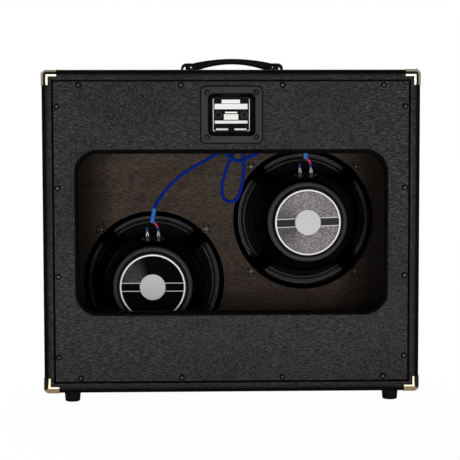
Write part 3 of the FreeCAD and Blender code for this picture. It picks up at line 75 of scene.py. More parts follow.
class Graph:
    """A node tree under construction."""

    def __init__(self, tree: NodeTree) -> None:
        """Start from a tree's own nodes."""
        self.nodes, self.links = tree.nodes, tree.links

    def feed(self, socket: NodeSocket, value: object) -> None:
        """Link a socket to another node's output, or give it a plain value."""
        if isinstance(value, NodeSocket):
            self.links.new(value, socket)
        else:
            socket.default_value = value

    def add(self, kind: str, inputs: dict | None = None, **settings: object) -> Node:
        """Add a node.

        Args:
            kind: the node's type.
            inputs: sockets by name or number, with what feeds them.
            settings: the node's own options.

        Returns:
            The new node.
        """
        node = self.nodes.new(kind)
        for key, value in settings.items():
            setattr(node, key, value)
        for key, value in (inputs or {}).items():
            self.feed(node.inputs[key], value)
        return node

    def place(self, scale: Point = (1, 1, 1), centre: Point = (0, 0, 0)) -> NodeSocket:
        """Object coordinates about a centre, stretched by a scale.

        Args:
            scale: the stretch along each axis.
            centre: the place that becomes the origin.

        Returns:
            The coordinates.
        """
        coords = self.add("ShaderNodeTexCoord").outputs["Object"]
        shift = tuple(-middle * share for middle, share in zip(centre, scale))
        node = self.add("ShaderNodeMapping", {"Vector": coords, "Location": shift, "Scale": scale})
        return node.outputs["Vector"]

    def parts(self, vector: NodeSocket) -> list[NodeSocket]:
        """The X, Y and Z of a vector."""
        return list(self.add("ShaderNodeSeparateXYZ", {"Vector": vector}).outputs)

    def normal(self) -> list[NodeSocket]:
        """The X, Y and Z of the way that the surface faces."""
        return self.parts(self.add("ShaderNodeNewGeometry").outputs["Normal"])

    def noise(self, vector: NodeSocket, scale: float, detail: float = 2.0, output: str = "Fac") -> NodeSocket:
        """Soft random pattern, with one cell in 1/scale metres."""
        node = self.add("ShaderNodeTexNoise", {"Vector": vector, "Scale": scale, "Detail": detail})
        return node.outputs[output]

    def cells(self, vector: NodeSocket, scale: float, edge: float) -> NodeSocket:
        """Pebbles with creases between them: 0 in a crease, 1 on a pebble."""
        inputs = {"Vector": vector, "Scale": scale}
        node = self.add("ShaderNodeTexVoronoi", inputs, feature="DISTANCE_TO_EDGE")
        return self.ramp(node.outputs["Distance"], 0.0, edge)

    def ramp(self, value: NodeSocket, start: float, end: float, low: float = 0.0,
             high: float = 1.0) -> NodeSocket:
        """Smooth step from low to high as a value goes from start to end."""
        inputs = {"Value": value, "From Min": start, "From Max": end, "To Min": low, "To Max": high}
        return self.add("ShaderNodeMapRange", inputs, interpolation_type="SMOOTHSTEP").outputs["Result"]

    def maths(self, operation: str, *values: object) -> NodeSocket:
        """One sum on one, two or three values."""
        return self.add("ShaderNodeMath", dict(enumerate(values)), operation=operation).outputs[0]

    def radius(self, x: NodeSocket, z: NodeSocket) -> NodeSocket:
        """Distance from an axis along Y."""
        squares = [self.maths("MULTIPLY", part, part) for part in (x, z)]
        return self.maths("SQRT", self.maths("ADD", *squares))

    def mix(self, share: object, first: object, second: object) -> NodeSocket:
        """A colour between two colours."""
        return self.add("ShaderNodeMix", {0: share, 6: first, 7: second}, data_type="RGBA").outputs[2]

    def blend(self, share: object, first: object, second: object) -> NodeSocket:
        """A number between two numbers."""
        return self.add("ShaderNodeMix", {0: share, 2: first, 3: second}).outputs[0]

    def shadow_border(self, side: float, wide: float) -> NodeSocket:
        """1 in the middle of the cabinet, falling to 0 over a width up to a given |X|; it masks painted
        shadow near the opening's sides.
        """
        x = self.parts(self.place())[0]
        return self.ramp(self.maths("ABSOLUTE", x), side, side - wide)


class Shader(Graph):
    """A material under construction: one principled surface and the nodes that feed it."""

    def __init__(self, name: str, colour: Colour, roughness: float) -> None:
        """Start a material.

        Args:
            name: the material's name.
            colour: its plain colour, linear.
            roughness: its plain roughness.
        """
        self.material = bpy.data.materials.new("finish_" + name)
        self.material.use_nodes = True
        super().__init__(self.material.node_tree)
        self.surface = self.nodes["Principled BSDF"]
        self.set("Base Color", (*colour, 1.0))
        self.set("Roughness", roughness)

    def set(self, socket: str, value: object) -> None:
        """Set or link one socket of the surface."""
        self.feed(self.surface.inputs[socket], value)

    def bump(self, height: NodeSocket, distance: float, strength: float) -> None:
        """Raise the surface by a height pattern, distance metres at its highest."""
        node = self.add("ShaderNodeBump", {"Height": height, "Distance": distance, "Strength": strength})
        self.set("Normal", node.outputs["Normal"])


def grey(level: float) -> Paint:
    """A neutral colour, as a socket takes it."""
    return (level, level, level, 1.0)


# Finishes

@dataclass(frozen=True)
class Coat:
    """What every finish has: a linear colour, a roughness and a way to make its material."""

    colour: Colour
    roughness: float

    def build(self, name: str) -> Material:
        """Make the material.

        Args:
            name: the finish's name.

        Returns:
            The new material.
        """
        shader = Shader(name, self.colour, self.roughness)
        self.pattern(shader)
        return shader.material

    def pattern(self, shader: Shader) -> None:
        """Add the finish's own pattern to a material."""
        raise NotImplementedError

    def tone(self, share: float = 1.0) -> Paint:
        """The finish's colour made lighter or darker by a share, as a socket takes it."""
        return (*(min(1.0, part * share) for part in self.colour), 1.0)


@dataclass(frozen=True)
class Vinyl(Coat):
    """Black embossed covering with short level wrinkles and pebbled patches.

    Tones are the shares of its colour in hollows, on tops and in creases: painted shade in the hollows and
    creases and a painted highlight on the tops, as light would fall on the emboss. Where it is drawn round an
    edge it is given painted shade and less gloss, and a field gives the share of its tone left there. Rim, if
    given, is the X, the least Z and the most Z of a box whose rear rim is given painted shade, darkest at the
    box's edge and fading inwards over the rim's fade widths.
    """

    colour: Colour = (0.0240, 0.0220, 0.0228)
    roughness: float = 0.46
    gloss: float = 0.13
    wrinkles: float = 420.0
    wrinkle_edge: float = 0.22
    wrinkle_shade_tones: Point = (0.15, 1.62, 0.55)
    stretch: float = 0.24
    sway: Span = (36.0, 0.003)
    pebbles: float = 420.0
    pebble_edge: float = 0.3
    pebble_shade_tones: Point = (0.05, 2.15, 0.5)
    patches: float = 11.0
    pores: float = 1100.0
    relief: float = 0.00035
    round_shade: float = 0.1
    flat_from: Span = (0.985, 0.9996)
    rim: Point | None = None
    rim_shade_fade: Span = (0.006, 0.016)

    def pattern(self, shader: Shader) -> None:
        """Emboss the covering with painted shade and highlights, wear it in places and paint shade round its
        edges.

        Args:
            shader: the covering's material.
        """
        coords = shader.place()
        faces = [shader.maths("ABSOLUTE", part) for part in shader.normal()]
        flat = shader.maths("MAXIMUM", shader.maths("MAXIMUM", faces[0], faces[1]), faces[2])
        flat = shader.ramp(flat, *self.flat_from)
        wavy = self.drawn_out(shader, coords, faces[2])
        wrinkle = shader.cells(wavy, self.wrinkles, self.wrinkle_edge)
        ridges = shader.ramp(shader.noise(wavy, self.wrinkles, 0.0), 0.36, 0.54)
        pebble = shader.cells(coords, self.pebbles, self.pebble_edge)
        knobs = shader.ramp(shader.noise(coords, 0.85 * self.pebbles, 0.0), 0.38, 0.56)
        # Painted shade in the hollows and creases, painted highlight on the tops of wrinkles and pebbles.
        looks = []
        for cell, tops, tones in ((wrinkle, ridges, self.wrinkle_shade_tones), (pebble, knobs, self.pebble_shade_tones)):
            hollow, top, crease = (self.tone(share) for share in tones)
            looks.append(shader.mix(cell, crease, shader.mix(tops, hollow, top)))
        patch = shader.ramp(shader.noise(coords, self.patches), 0.5, 0.6)
        worn = shader.ramp(shader.noise(coords, 5.0, 4.0), 0.3, 0.7, 0.0, 0.1)
        shade = shader.mix(worn, shader.mix(patch, *looks), self.tone(0.5))
        # Painted shade on the rear-facing rim, darkest at the box's outer edge.
        if self.rim:
            shade = shader.mix(self.painted_rim_shade(shader, coords), shade, self.tone(0.0))
        height = shader.blend(patch, wrinkle, pebble)
        height = shader.maths("MULTIPLY_ADD", shader.noise(coords, self.pores), 0.2, height)
        # Painted shade: round an edge the colour falls to a share of its tone and the gloss drops with it.
        shader.set("Base Color", shader.mix(flat, self.tone(self.round_shade), shade))
        shader.set("Roughness", shader.ramp(height, 0.0, 1.2, self.roughness + 0.16, self.roughness - 0.06))
        shader.set("Specular IOR Level", shader.ramp(flat, 0.0, 1.0, self.gloss * self.round_shade, self.gloss))
        shader.bump(height, self.relief, 0.7)

    def drawn_out(self, shader: Shader, coords: NodeSocket, level: NodeSocket) -> NodeSocket:
        """Coordinates in which round cells come out as level wrinkles that sway a little.

        Args:
            shader: the covering's material.
            coords: plain coordinates.
            level: how nearly a face is level, 0 to 1.

        Returns:
            The new coordinates.
        """
        x, y, z = shader.parts(coords)
        forward = shader.ramp(level, 0.2, 0.8, self.stretch, 1.0)
        long = shader.add("ShaderNodeCombineXYZ", {"X": shader.maths("MULTIPLY", x, self.stretch),
                                                   "Y": shader.maths("MULTIPLY", y, forward), "Z": z})
        waves, reach = self.sway
        inputs = {0: shader.noise(coords, waves, output="Color"), 1: (reach,) * 3, 2: long.outputs[0]}
        return shader.add("ShaderNodeVectorMath", inputs, operation="MULTIPLY_ADD").outputs[0]

    def painted_rim_shade(self, shader: Shader, coords: NodeSocket) -> NodeSocket:
        """Painted shade on the rear rim: 1 at the box's edge, less inwards, 0 on faces that don't look
        rearwards.

        Args:
            shader: the covering's material.
            coords: plain coordinates.

        Returns:
            The share.
        """
        x, _, z = shader.parts(coords)
        side, low, high = self.rim
        inset = shader.maths("SUBTRACT", side, shader.maths("ABSOLUTE", x))
        for edge in (shader.maths("SUBTRACT", z, low), shader.maths("SUBTRACT", high, z)):
            inset = shader.maths("MINIMUM", inset, edge)
        rearward = shader.ramp(shader.normal()[1], 0.9, 0.99)
        return shader.maths("MULTIPLY", rearward, shader.ramp(inset, *self.rim_shade_fade, 1.0, 0.2))


@dataclass(frozen=True)
class Wood(Coat):
    """Stained plywood or planed batten with its grain along one axis.

    Tones are the shares of its colour in dark and pale streaks, and streaks and pores are each a fineness and
    a detail. Edges, if given, are the X, the least Z and the width of painted shadow near the sides and the
    foot, where the panel round the opening would shade the board.
    """

    figure: Colour
    grain: Point = (1.0, 26.0, 26.0)
    gloss: float = 0.2
    tones: Span = (0.62, 1.3)
    edges: Point | None = None
    streaks: Span = (2.2, 7.0)
    pores: Span = (15.0, 3.0)
    patches: Point = (9.0, 9.0, 14.0)
    specks: Point = (90.0, 300.0, 300.0)
    relief: float = 0.0004

    def pattern(self, shader: Shader) -> None:
        """Lay streaks, warm patches, specks and pores along the grain.

        Args:
            shader: the wood's material.
        """
        streaks, pores = (shader.noise(shader.place(tuple(fine * part for part in self.grain)), 1.0, detail)
                          for fine, detail in (self.streaks, self.pores))
        patch = shader.noise(shader.place(self.patches), 1.0, 3.0)
        speck = shader.noise(shader.place(self.specks), 1.0)
        dark, pale = (self.tone(share) for share in self.tones)
        tone = shader.mix(shader.ramp(streaks, 0.3, 0.7), dark, pale)
        tone = shader.mix(shader.ramp(patch, 0.42, 0.68, 0.0, 0.55), tone, (*self.figure, 1.0))
        tone = shader.mix(shader.ramp(speck, 0.38, 0.62, 0.66, 0.0), tone, self.tone(0.3))
        tone = shader.mix(shader.ramp(pores, 0.32, 0.46, 0.5, 0.0), tone, self.tone(0.35))
        # Painted shadow near the opening's sides and foot, as the panel round the opening would cast it.
        if self.edges:
            side, foot, wide = self.edges
            height = shader.parts(shader.place())[2]
            raised = shader.ramp(height, foot, foot + 1.6 * wide, 0.6, 1.0)
            inside = shader.maths("MULTIPLY", shader.shadow_border(side, wide), raised)
            tone = shader.mix(inside, self.tone(0.15), tone)
        shader.set("Base Color", tone)
        shader.set("Roughness", shader.ramp(streaks, 0.3, 0.7, self.roughness + 0.1, self.roughness - 0.08))
        shader.set("Specular IOR Level", self.gloss)
        shader.bump(shader.maths("MULTIPLY_ADD", streaks, 0.6, pores), self.relief, 0.5)


@dataclass(frozen=True)
class Metal(Coat):
    """Plated, bright or brushed metal with fine scratches and dull patches.

    Shaded metal goes black where its shape's own shade attribute is 0, a painted shade.
    """

    metal: float = 1.0
    brush: Point = (60.0, 700.0, 700.0)
    tarnish: float = 0.25
    scratched: float = 0.12
    relief: float = 0.3
    shaded: bool = False
    patches: float = 55.0
    scratch_depth: float = 0.00004

    def pattern(self, shader: Shader) -> None:
        """Scratch the metal and dull it in patches.

        Args:
            shader: the metal's material.
        """
        shader.set("Metallic", self.metal)
        scratch = shader.noise(shader.place(self.brush), 1.0, 3.0)
        cloud = shader.noise(shader.place(), self.patches, 4.0)
        dull = shader.ramp(cloud, 0.45, 0.75, 0.0, self.tarnish)
        tone = shader.mix(dull, self.tone(), self.tone(0.55))
        if self.shaded:
            shade = shader.add("ShaderNodeAttribute", attribute_name="shade").outputs["Fac"]
            tone = shader.mix(shade, grey(0.001), tone)
        shader.set("Base Color", tone)
        wear = shader.maths("MULTIPLY_ADD", dull, 0.35, self.roughness)
        scuffs = shader.ramp(scratch, 0.4, 0.8)
        shader.set("Roughness", shader.maths("MULTIPLY_ADD", scuffs, self.scratched, wear))
        shader.bump(scratch, self.scratch_depth, self.relief)


@dataclass(frozen=True)
class Moulded(Coat):
    """Moulded plastic, rubber, paint, ferrite or board with a fine all-over texture.

    Sides is the share of its colour that it keeps on walls and edges, which turn away from the rear: painted
    shade there, with the gloss lowered alike.
    """

    texture: float = 1300.0
    relief: float = 0.00008
    mottle: float = 0.15
    gloss: float = 0.5
    sides: float = 1.0
    patches: float = 28.0

    def pattern(self, shader: Shader) -> None:
        """Mottle the surface, grain it and paint shade on its sides.

        Args:
            shader: the surface's material.
        """
        grain = shader.noise(shader.place(), self.texture, 3.0)
        cloud = shader.noise(shader.place(), self.patches, 4.0)
        tone = shader.mix(cloud, self.tone(1 - self.mottle), self.tone(1 + self.mottle))
        gloss = self.gloss
        # Painted shade on walls and edges that turn away from the rear, with less gloss there.
        if self.sides < 1:
            turned_away = shader.ramp(shader.maths("ABSOLUTE", shader.normal()[1]), 0.98, 0.7)
            tone = shader.mix(turned_away, tone, self.tone(self.sides))
            gloss = shader.ramp(turned_away, 0.0, 1.0, self.gloss, self.gloss * self.sides)
        shader.set("Base Color", tone)
        shader.set("Specular IOR Level", gloss)
        shader.set("Roughness", shader.ramp(cloud, 0.3, 0.7, self.roughness - 0.05, self.roughness + 0.07))
        shader.bump(grain, self.relief, 0.6)


@dataclass(frozen=True)
class Fibre(Coat):
    """Pressed paper pulp or impregnated cloth, with fibres lying every way.

    With a centre, dope lies in rings round it, each a radius, a half width and a share of the tone; plain is
    the share between them. The rings' gloss is the dope's own, and their tone is a painted highlight on the
    surround's roll crests, near black between them. Near the sides it all fades into painted shadow, from an
    |X| over a width.
    """

    fibres: float = 420.0
    relief: float = 0.0002
    sheen: float = 0.0
    gloss: float = 0.5
    centre: Point | None = None
    rings: tuple[Point, ...] = ((0.1274, 0.0034, 1.0), (0.1178, 0.0026, 0.45), (0.1128, 0.0012, 0.2))
    plain: float = 0.12
    shadow_border: Span = (0.298, 0.055)
    patches: float = 30.0

    def pattern(self, shader: Shader) -> None:
        """Felt the fibres and dope the rings, with painted highlights on the roll crests and painted shadow
        near the sides.

        Args:
            shader: the surface's material.
        """
        shader.set("Sheen Weight", self.sheen)
        lies = [shader.noise(shader.place(lie), self.fibres / 4, 4.0) for lie in ((1, 1, 6), (6, 1, 1))]
        felt = shader.maths("MAXIMUM", *lies)
        cloud = shader.noise(shader.place(), self.patches, 3.0)
        tone = shader.mix(cloud, self.tone(0.75), self.tone(1.2))
        tone = shader.mix(shader.ramp(felt, 0.5, 0.75, 0.0, 0.6), tone, self.tone(1.7))
        gloss = self.gloss
        # Painted highlights on the roll crests, near black between them, and painted shadow near the sides;
        # the gloss follows the dope.
        if self.centre:
            lit_dope = self.lit_doping(shader)
            tone = shader.mix(lit_dope, grey(0.0005), tone)
            gloss = shader.maths("MULTIPLY", lit_dope, self.gloss)
        shader.set("Base Color", tone)
        shader.set("Specular IOR Level", gloss)
        shader.set("Roughness", shader.ramp(felt, 0.4, 0.8, self.roughness, self.roughness - 0.12))
        shader.bump(felt, self.relief, 0.6)

    def lit_doping(self, shader: Shader) -> NodeSocket:
        """How thick the dope lies and how strong the painted highlight is, 0 to 1, with painted shadow near
        the sides.

        Args:
            shader: the surface's material.

        Returns:
            The share.
        """
        x, _, z = shader.parts(shader.place(centre=self.centre))
        radius = shader.radius(x, z)
        lit_dope = self.plain
        for middle, half, share in self.rings:
            away = shader.maths("ABSOLUTE", shader.maths("SUBTRACT", radius, middle))
            lit_dope = shader.maths("MAXIMUM", shader.ramp(away, half, half * 0.5, self.plain, share), lit_dope)
        return shader.maths("MULTIPLY", lit_dope, shader.shadow_border(*self.shadow_border))


@dataclass(frozen=True)
class Weave(Coat):
    """Open woven grille cloth: level and upright yarns that pass over each other in turn."""

    fleck: Colour
    pitch: float
    sheen: float = 0.08
    gloss: float = 0.2
    swing: float = 0.45
    slubs: float = 260.0
    relief: float = 0.0006

    def pattern(self, shader: Shader) -> None:
        """Weave the yarns, with silver flecks on the level ones and dark gaps between them.

        Args:
            shader: the cloth's material.
        """
        shader.set("Sheen Weight", self.sheen)
        shader.set("Specular IOR Level", self.gloss)
        x, _, z = shader.parts(shader.place((1 / self.pitch,) * 3))
        yarns = []
        for across, along in ((x, z), (z, x)):
            turn = shader.maths("ADD", along, shader.maths("FLOOR", across))
            over = shader.maths("SINE", shader.maths("MULTIPLY", turn, math.pi))
            round_top = shader.maths("SINE", shader.maths("MULTIPLY", shader.maths("FRACT", across), math.pi))
            yarns.append(shader.maths("MULTIPLY_ADD", over, self.swing, round_top))
        height = shader.maths("MAXIMUM", *yarns)
        level = shader.maths("GREATER_THAN", *yarns)
        slub = shader.noise(shader.place(), self.slubs, 3.0)
        spun = shader.mix(slub, self.tone(0.6), self.tone(1.5))
        flecked = shader.maths("MULTIPLY", level, shader.ramp(slub, 0.5, 0.66, 0.0, 0.7))
        silver = shader.mix(flecked, spun, (*self.fleck, 1.0))
        shader.set("Base Color", shader.mix(shader.ramp(height, 0.2, 0.7), grey(0.002), silver))
        shader.bump(height, self.relief, 0.8)


@dataclass(frozen=True)
class LabelPrint(Coat):
    """Printed foil disc: a white line near its edge, a plain band and a fine hatched ground.

    The hatching carries a painted reflection, the foil's glint, brightest in some wedges round the centre,
    each a middle angle and a half width, and least between them.
    Those angles and the band's tilt are in degrees.
    """

    hatch: Colour
    centre: Point
    glint_sectors: tuple[Span, ...]
    least: float
    tilt: float = 0.0
    ring: Span = (0.0603, 0.0632)
    band: float = 0.0078
    line: float = 0.0011
    ink: Colour = (0.74, 0.73, 0.71)
    hatch_pitch: float = 0.0060
    valley: float = 0.0
    grit: float = 300.0
    glint_top_only: bool = False
    edge: float = 0.0003
    gloss: float = 0.05
    relief: float = 0.00003

    def pattern(self, shader: Shader) -> None:
        """Print the ring, the band's two lines and the hatching, with the hatching's painted glint.

        Args:
            shader: the disc's material.
        """
        shader.set("Specular IOR Level", self.gloss)
        x, _, z = shader.parts(shader.place(centre=self.centre))
        radius = shader.radius(x, z)
        across = self.towards(shader, x, z, 90 - self.tilt)
        height = shader.maths("ABSOLUTE", across)
        ring = self.between(shader, radius, *self.ring)
        rules = self.between(shader, height, self.band - self.line / 2, self.band + self.line / 2)
        rules = shader.maths("MULTIPLY", rules, shader.maths("LESS_THAN", radius, self.ring[0]))
        # Where the painted glint on the hatching may show: above the band only, or above and below it.
        above = shader.maths("GREATER_THAN", across if self.glint_top_only else height, self.band)
        field = shader.maths("MULTIPLY", above,
                             shader.maths("LESS_THAN", radius, self.ring[0] - 4 * self.edge))
        lines = self.hatching(shader, x, z)
        # Painted reflection: the glint is strongest in the given wedges and falls to the least share between
        # them.
        share = self.least
        for middle, half in self.glint_sectors:
            lean = shader.maths("DIVIDE", self.towards(shader, x, z, middle), radius)
            near = shader.ramp(lean, math.cos(math.radians(half)), 1.0, self.least, 1.0)
            share = shader.maths("MAXIMUM", near, share)
        shine = shader.maths("MULTIPLY", shader.maths("MULTIPLY", lines, field), share)
        ground = shader.mix(shine, self.tone(), (*self.hatch, 1.0))
        shader.set("Base Color", shader.mix(shader.maths("MAXIMUM", ring, rules), ground, (*self.ink, 1.0)))
        shader.set("Roughness", shader.ramp(shine, 0.0, 1.0, self.roughness, self.roughness + 0.12))
        shader.bump(lines, self.relief, 0.3)

    def hatching(self, shader: Shader, x: NodeSocket, z: NodeSocket) -> NodeSocket:
        """Strokes that lean both ways, one way more strongly, broken up by grit.

        Args:
            shader: the disc's material.
            x: sideways from the disc's centre.
            z: upwards from it.

        Returns:
            How bright the strokes are, 0 to 1.
        """
        strokes = []
        for lean in SIDES:
            slant = shader.maths("MULTIPLY_ADD", z, lean, x)
            phase = shader.maths("MULTIPLY", slant, 2 * math.pi / self.hatch_pitch)
            strokes.append(shader.maths("SINE", phase))
        crossed = shader.maths("MULTIPLY_ADD", strokes[1], 0.35, strokes[0])
        grit = shader.ramp(shader.noise(shader.place(), self.grit, 1.0), 0.4, 0.6, 0.5, 1.0)
        return shader.maths("MULTIPLY", shader.ramp(crossed, -0.7, 0.9, self.valley, 1.0), grit)

    def towards(self, shader: Shader, x: NodeSocket, z: NodeSocket, degrees: float) -> NodeSocket:
        """How far a place lies from the disc's centre in one direction."""
        turn = math.radians(degrees)
        return shader.maths("MULTIPLY_ADD", x, math.cos(turn), shader.maths("MULTIPLY", z, math.sin(turn)))

    def between(self, shader: Shader, value: NodeSocket, low: float, high: float) -> NodeSocket:
        """1 where a value lies between two limits, with a thin soft edge."""
        inside = shader.ramp(value, low - self.edge, low + self.edge)
        return shader.maths("MULTIPLY", inside, shader.ramp(value, high + self.edge, high - self.edge))


def corners_of(node: str) -> tuple[Vector, Vector]:
    """Lowest and highest corners of a CAD node at rest."""
    low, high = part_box(node)
    return Vector(low), Vector(high)


def middle_of(node: str) -> Vector:
    """Middle of a CAD node's box at rest."""
    return sum(corners_of(node), Vector()) / 2


SHELL_LOW, SHELL_HIGH = corners_of("shell_covering")
UPPER_CENTRE = tuple(middle_of("upper_magnet"))
LOWER_CENTRE = tuple(middle_of("lower_magnet"))


@unique
class Finish(Enum):
    """Every finish on the cabinet, by the record's name for it, and a few that only dress new pieces."""

    vinyl = Vinyl()
    edge_vinyl = Vinyl(round_shade=0.15, rim=(SHELL_HIGH.x, SHELL_LOW.z, SHELL_HIGH.z))
    birch_plywood = Wood((0.024, 0.014, 0.010), 0.66, (0.034, 0.016, 0.011))
    # Its last three numbers place the painted shadow round the opening on the baffle.
    stained_plywood = Wood((0.056, 0.0405, 0.0305), 0.78, (0.062, 0.0415, 0.0305), (3.0, 26.0, 26.0), 0.12,
                           (0.84, 1.14), (0.292, 0.160, 0.058))
    batten_wood = Wood((0.020, 0.013, 0.009), 0.70, (0.03, 0.016, 0.01), (1.0, 20.0, 20.0))
    grille_wood = Wood((0.030, 0.022, 0.016), 0.66, (0.04, 0.024, 0.016), (1.0, 22.0, 22.0))
    black_screw = Metal((0.07, 0.07, 0.072), 0.40, tarnish=0.5)
    washer_black = Moulded((0.0012, 0.0012, 0.0012), 0.5, 1200.0, gloss=0.05)
    dark_steel = Metal((0.068, 0.058, 0.049), 0.55, tarnish=0.6, shaded=True)
    plate_screw = Metal((0.03, 0.03, 0.031), 0.45, tarnish=0.4)
    zinc_steel = Metal((0.10, 0.096, 0.09), 0.46, tarnish=0.7)
    bright_nickel = Metal((0.80, 0.725, 0.57), 0.05, tarnish=0.08, scratched=0.03, relief=0.02)
    tinned_metal = Metal((0.66, 0.64, 0.61), 0.40, tarnish=0.4)
    coil_metal = Metal((0.55, 0.33, 0.20), 0.30)
    vent_silver = Metal((0.47, 0.47, 0.466), 0.55, 0.1, (240.0, 240.0, 240.0), 0.05)
    plate_steel = Moulded((0.0014, 0.0014, 0.0015), 0.36, 900.0, 0.00004, gloss=0.04)
    basket_paint = Moulded((0.0006, 0.0006, 0.0006), 0.2, 700.0, 0.00005, gloss=0.008)
    ferrite = Moulded((0.026, 0.0256, 0.026), 0.60, 500.0, 0.00012, 0.25, 0.2)
    foot_rubber = Moulded((0.0030, 0.0030, 0.0031), 0.62, 900.0, 0.0001, gloss=0.1)
    strap_rubber = Moulded((0.0022, 0.0021, 0.0022), 0.44, 620.0, 0.00025, gloss=0.07)
    cap_plastic = Moulded((0.0022, 0.0022, 0.0023), 0.40, 1000.0, gloss=0.08)
    # Painted shade on its walls and edges, which keep a small share of its colour.
    dish_plastic = Moulded((0.0182, 0.0171, 0.0175), 0.50, 1500.0, 0.00007, gloss=0.18, sides=0.06)
    black_ink = Moulded((0.002, 0.002, 0.0021), 0.6, 900.0, 0.00003, gloss=0.08)
    jack_plastic = Moulded((0.0045, 0.0045, 0.0046), 0.44, gloss=0.12)
    terminal_board = Moulded((0.0014, 0.0012, 0.0011), 0.6, 600.0, gloss=0.02)
    gasket_board = Fibre((0.060, 0.048, 0.036), 0.85)
    cone_paper = Fibre((0.0034, 0.0034, 0.0035), 0.86, gloss=0.05)
    # The surrounds' finishes carry painted highlights on their rolls and painted shadow near the sides.
    upper_doped = Fibre((0.044, 0.044, 0.045), 0.42, relief=0.0001, centre=UPPER_CENTRE)
    lower_doped = Fibre((0.044, 0.044, 0.045), 0.42, relief=0.0001, centre=LOWER_CENTRE)
    dust_cap_paper = Fibre((0.010, 0.010, 0.0105), 0.72)
    spider_cloth = Fibre((0.33, 0.20, 0.07), 0.80, 700.0)
    hook_and_loop = Fibre((0.011, 0.011, 0.012), 0.95, 900.0, 0.0006, 0.4)
    grille_weave = Weave((0.016, 0.016, 0.017), 0.8, (0.16, 0.155, 0.15), 0.0022)
    # The labels' hatch colours, wedges and least shares paint the foil's glint, a painted reflection.
    upper_print = LabelPrint((0.020, 0.020, 0.0205), 0.34, (0.345, 0.321, 0.321), UPPER_CENTRE,
                             ((98, 95), (-105, 85), (180, 60)), 0.3, 2.0, valley=0.42)
    lower_print = LabelPrint((0.0012, 0.0012, 0.0013), 0.34, (0.125, 0.113, 0.110), LOWER_CENTRE,
                             ((16, 60),), 0.0, glint_top_only=True, gloss=0.008)
    white_ink = Moulded((0.78, 0.77, 0.75), 0.5, 900.0, 0.00003, 0.06)
    sleeve_navy = Moulded((0.006, 0.028, 0.11), 0.46, 800.0, gloss=0.15)
    cable_blue = Moulded((0.0003, 0.012, 0.155), 0.46, 500.0, 0.00006, 0.2, 0.03)
    boot_blue = Moulded((0.013, 0.12, 0.43), 0.42, 600.0, 0.0001, 0.2, 0.3)
    lead_red = Moulded((0.60, 0.05, 0.10), 0.40, 800.0, gloss=0.3)
    lead_black = Moulded((0.004, 0.004, 0.0042), 0.5, 800.0, gloss=0.15)


@functools.cache
def material_of(finish: Finish) -> Material:
    """The material of a finish, made the first time that it is asked for."""
    return finish.value.build(finish.name)


# Shapes that several sub-assemblies use

def turned(profile: Sequence[Span], steps: int) -> BMesh:
    """A ring or solid of revolution about Z.

    Args:
        profile: (radius, height) corners of its section, in order round it.
        steps: facets in a full turn.

    Returns:
        The new shape, closed.
    """
    shape = bmesh.new()
    corners = [shape.verts.new((radius, 0, height)) for radius, height in profile]
    edges = [shape.edges.new(pair) for pair in zip(corners, corners[1:] + corners[:1])]
    bmesh.ops.spin(shape, geom=corners + edges, cent=(0, 0, 0), axis=UP, angle=2 * math.pi, steps=steps,
                   use_merge=True)
    bmesh.ops.remove_doubles(shape, verts=shape.verts, dist=TOUCHING)
    bmesh.ops.dissolve_degenerate(shape, edges=shape.edges, dist=TOUCHING / 10)
    bmesh.ops.recalc_face_normals(shape, faces=shape.faces)
    return shape


def add_block(shape: BMesh, size: Sequence[float], centre: Sequence[float] = (0, 0, 0)) -> None:
    """Add a sharp block to a shape.

    Args:
        shape: the shape.
        size: the block's size.
        centre: the block's middle.
    """
    made = bmesh.ops.create_cube(shape, size=1)["verts"]
    bmesh.ops.scale(shape, vec=size, verts=made)
    bmesh.ops.translate(shape, vec=centre, verts=made)


def round_edges(shape: BMesh, edges: list[BMEdge], offset: float, segments: int, clamp: bool = False) -> None:
    """Round some edges of a shape, held back from their neighbours if clamped."""
    bmesh.ops.bevel(shape, geom=edges, offset=offset, segments=segments, profile=0.5, affect="EDGES",
                    material=-1, clamp_overlap=clamp)


def block(size: Sequence[float], bevel: float, segments: int = 3) -> BMesh:
    """A block about the origin with rounded edges.

    Args:
        size: its size.
        bevel: how far its edges are rounded.
        segments: facets across a rounded edge.

    Returns:
        The new shape.
    """
    shape = bmesh.new()
    add_block(shape, size)
    round_edges(shape, shape.edges[:], bevel, segments)
    return shape


def sink(shape: BMesh, faces: list[BMFace], depth: float) -> list[BMVert]:
    """Push faces down into a shape, with walls round them.

    Args:
        shape: the shape.
        faces: flat faces that look up Z.
        depth: how far down they go.

    Returns:
        The sunk faces' corners.
    """
    made = bmesh.ops.extrude_face_region(shape, geom=faces)["geom"]
    verts = [part for part in made if isinstance(part, BMVert)]
    bmesh.ops.delete(shape, geom=[face for face in faces if face.is_valid], context="FACES_ONLY")
    bmesh.ops.translate(shape, vec=(0, 0, -depth), verts=verts)
    return verts


def rounded_outline(half_x: float, half_z: float, corner: float, steps: int = 8) -> list[Span]:
    """Points round an upright rectangle with rounded corners.

    Args:
        half_x: half its width.
        half_z: half its height.
        corner: its corners' radius.
        steps: facets in a corner.

    Returns:
        The (x, z) of each point, about the rectangle's middle.
    """
    points = []
    for quarter, (sx, sz) in enumerate(((1, 1), (-1, 1), (-1, -1), (1, -1))):
        for step in range(steps + 1):
            turn = math.pi / 2 * (quarter + step / steps)
            points.append((sx * (half_x - corner) + corner * math.cos(turn),
                           sz * (half_z - corner) + corner * math.sin(turn)))
    return points


def show(thing: Object) -> None:
    """Put an object into the scene."""
    bpy.context.scene.collection.objects.link(thing)


def facing(at: Sequence[float], towards: Sequence[float]) -> Matrix:
    """Place for a shape whose Z is to point a given way."""
    turn = Vector(towards).to_track_quat("Z", "Y").to_matrix().to_4x4()
    return Matrix.Translation(Vector(at)) @ turn


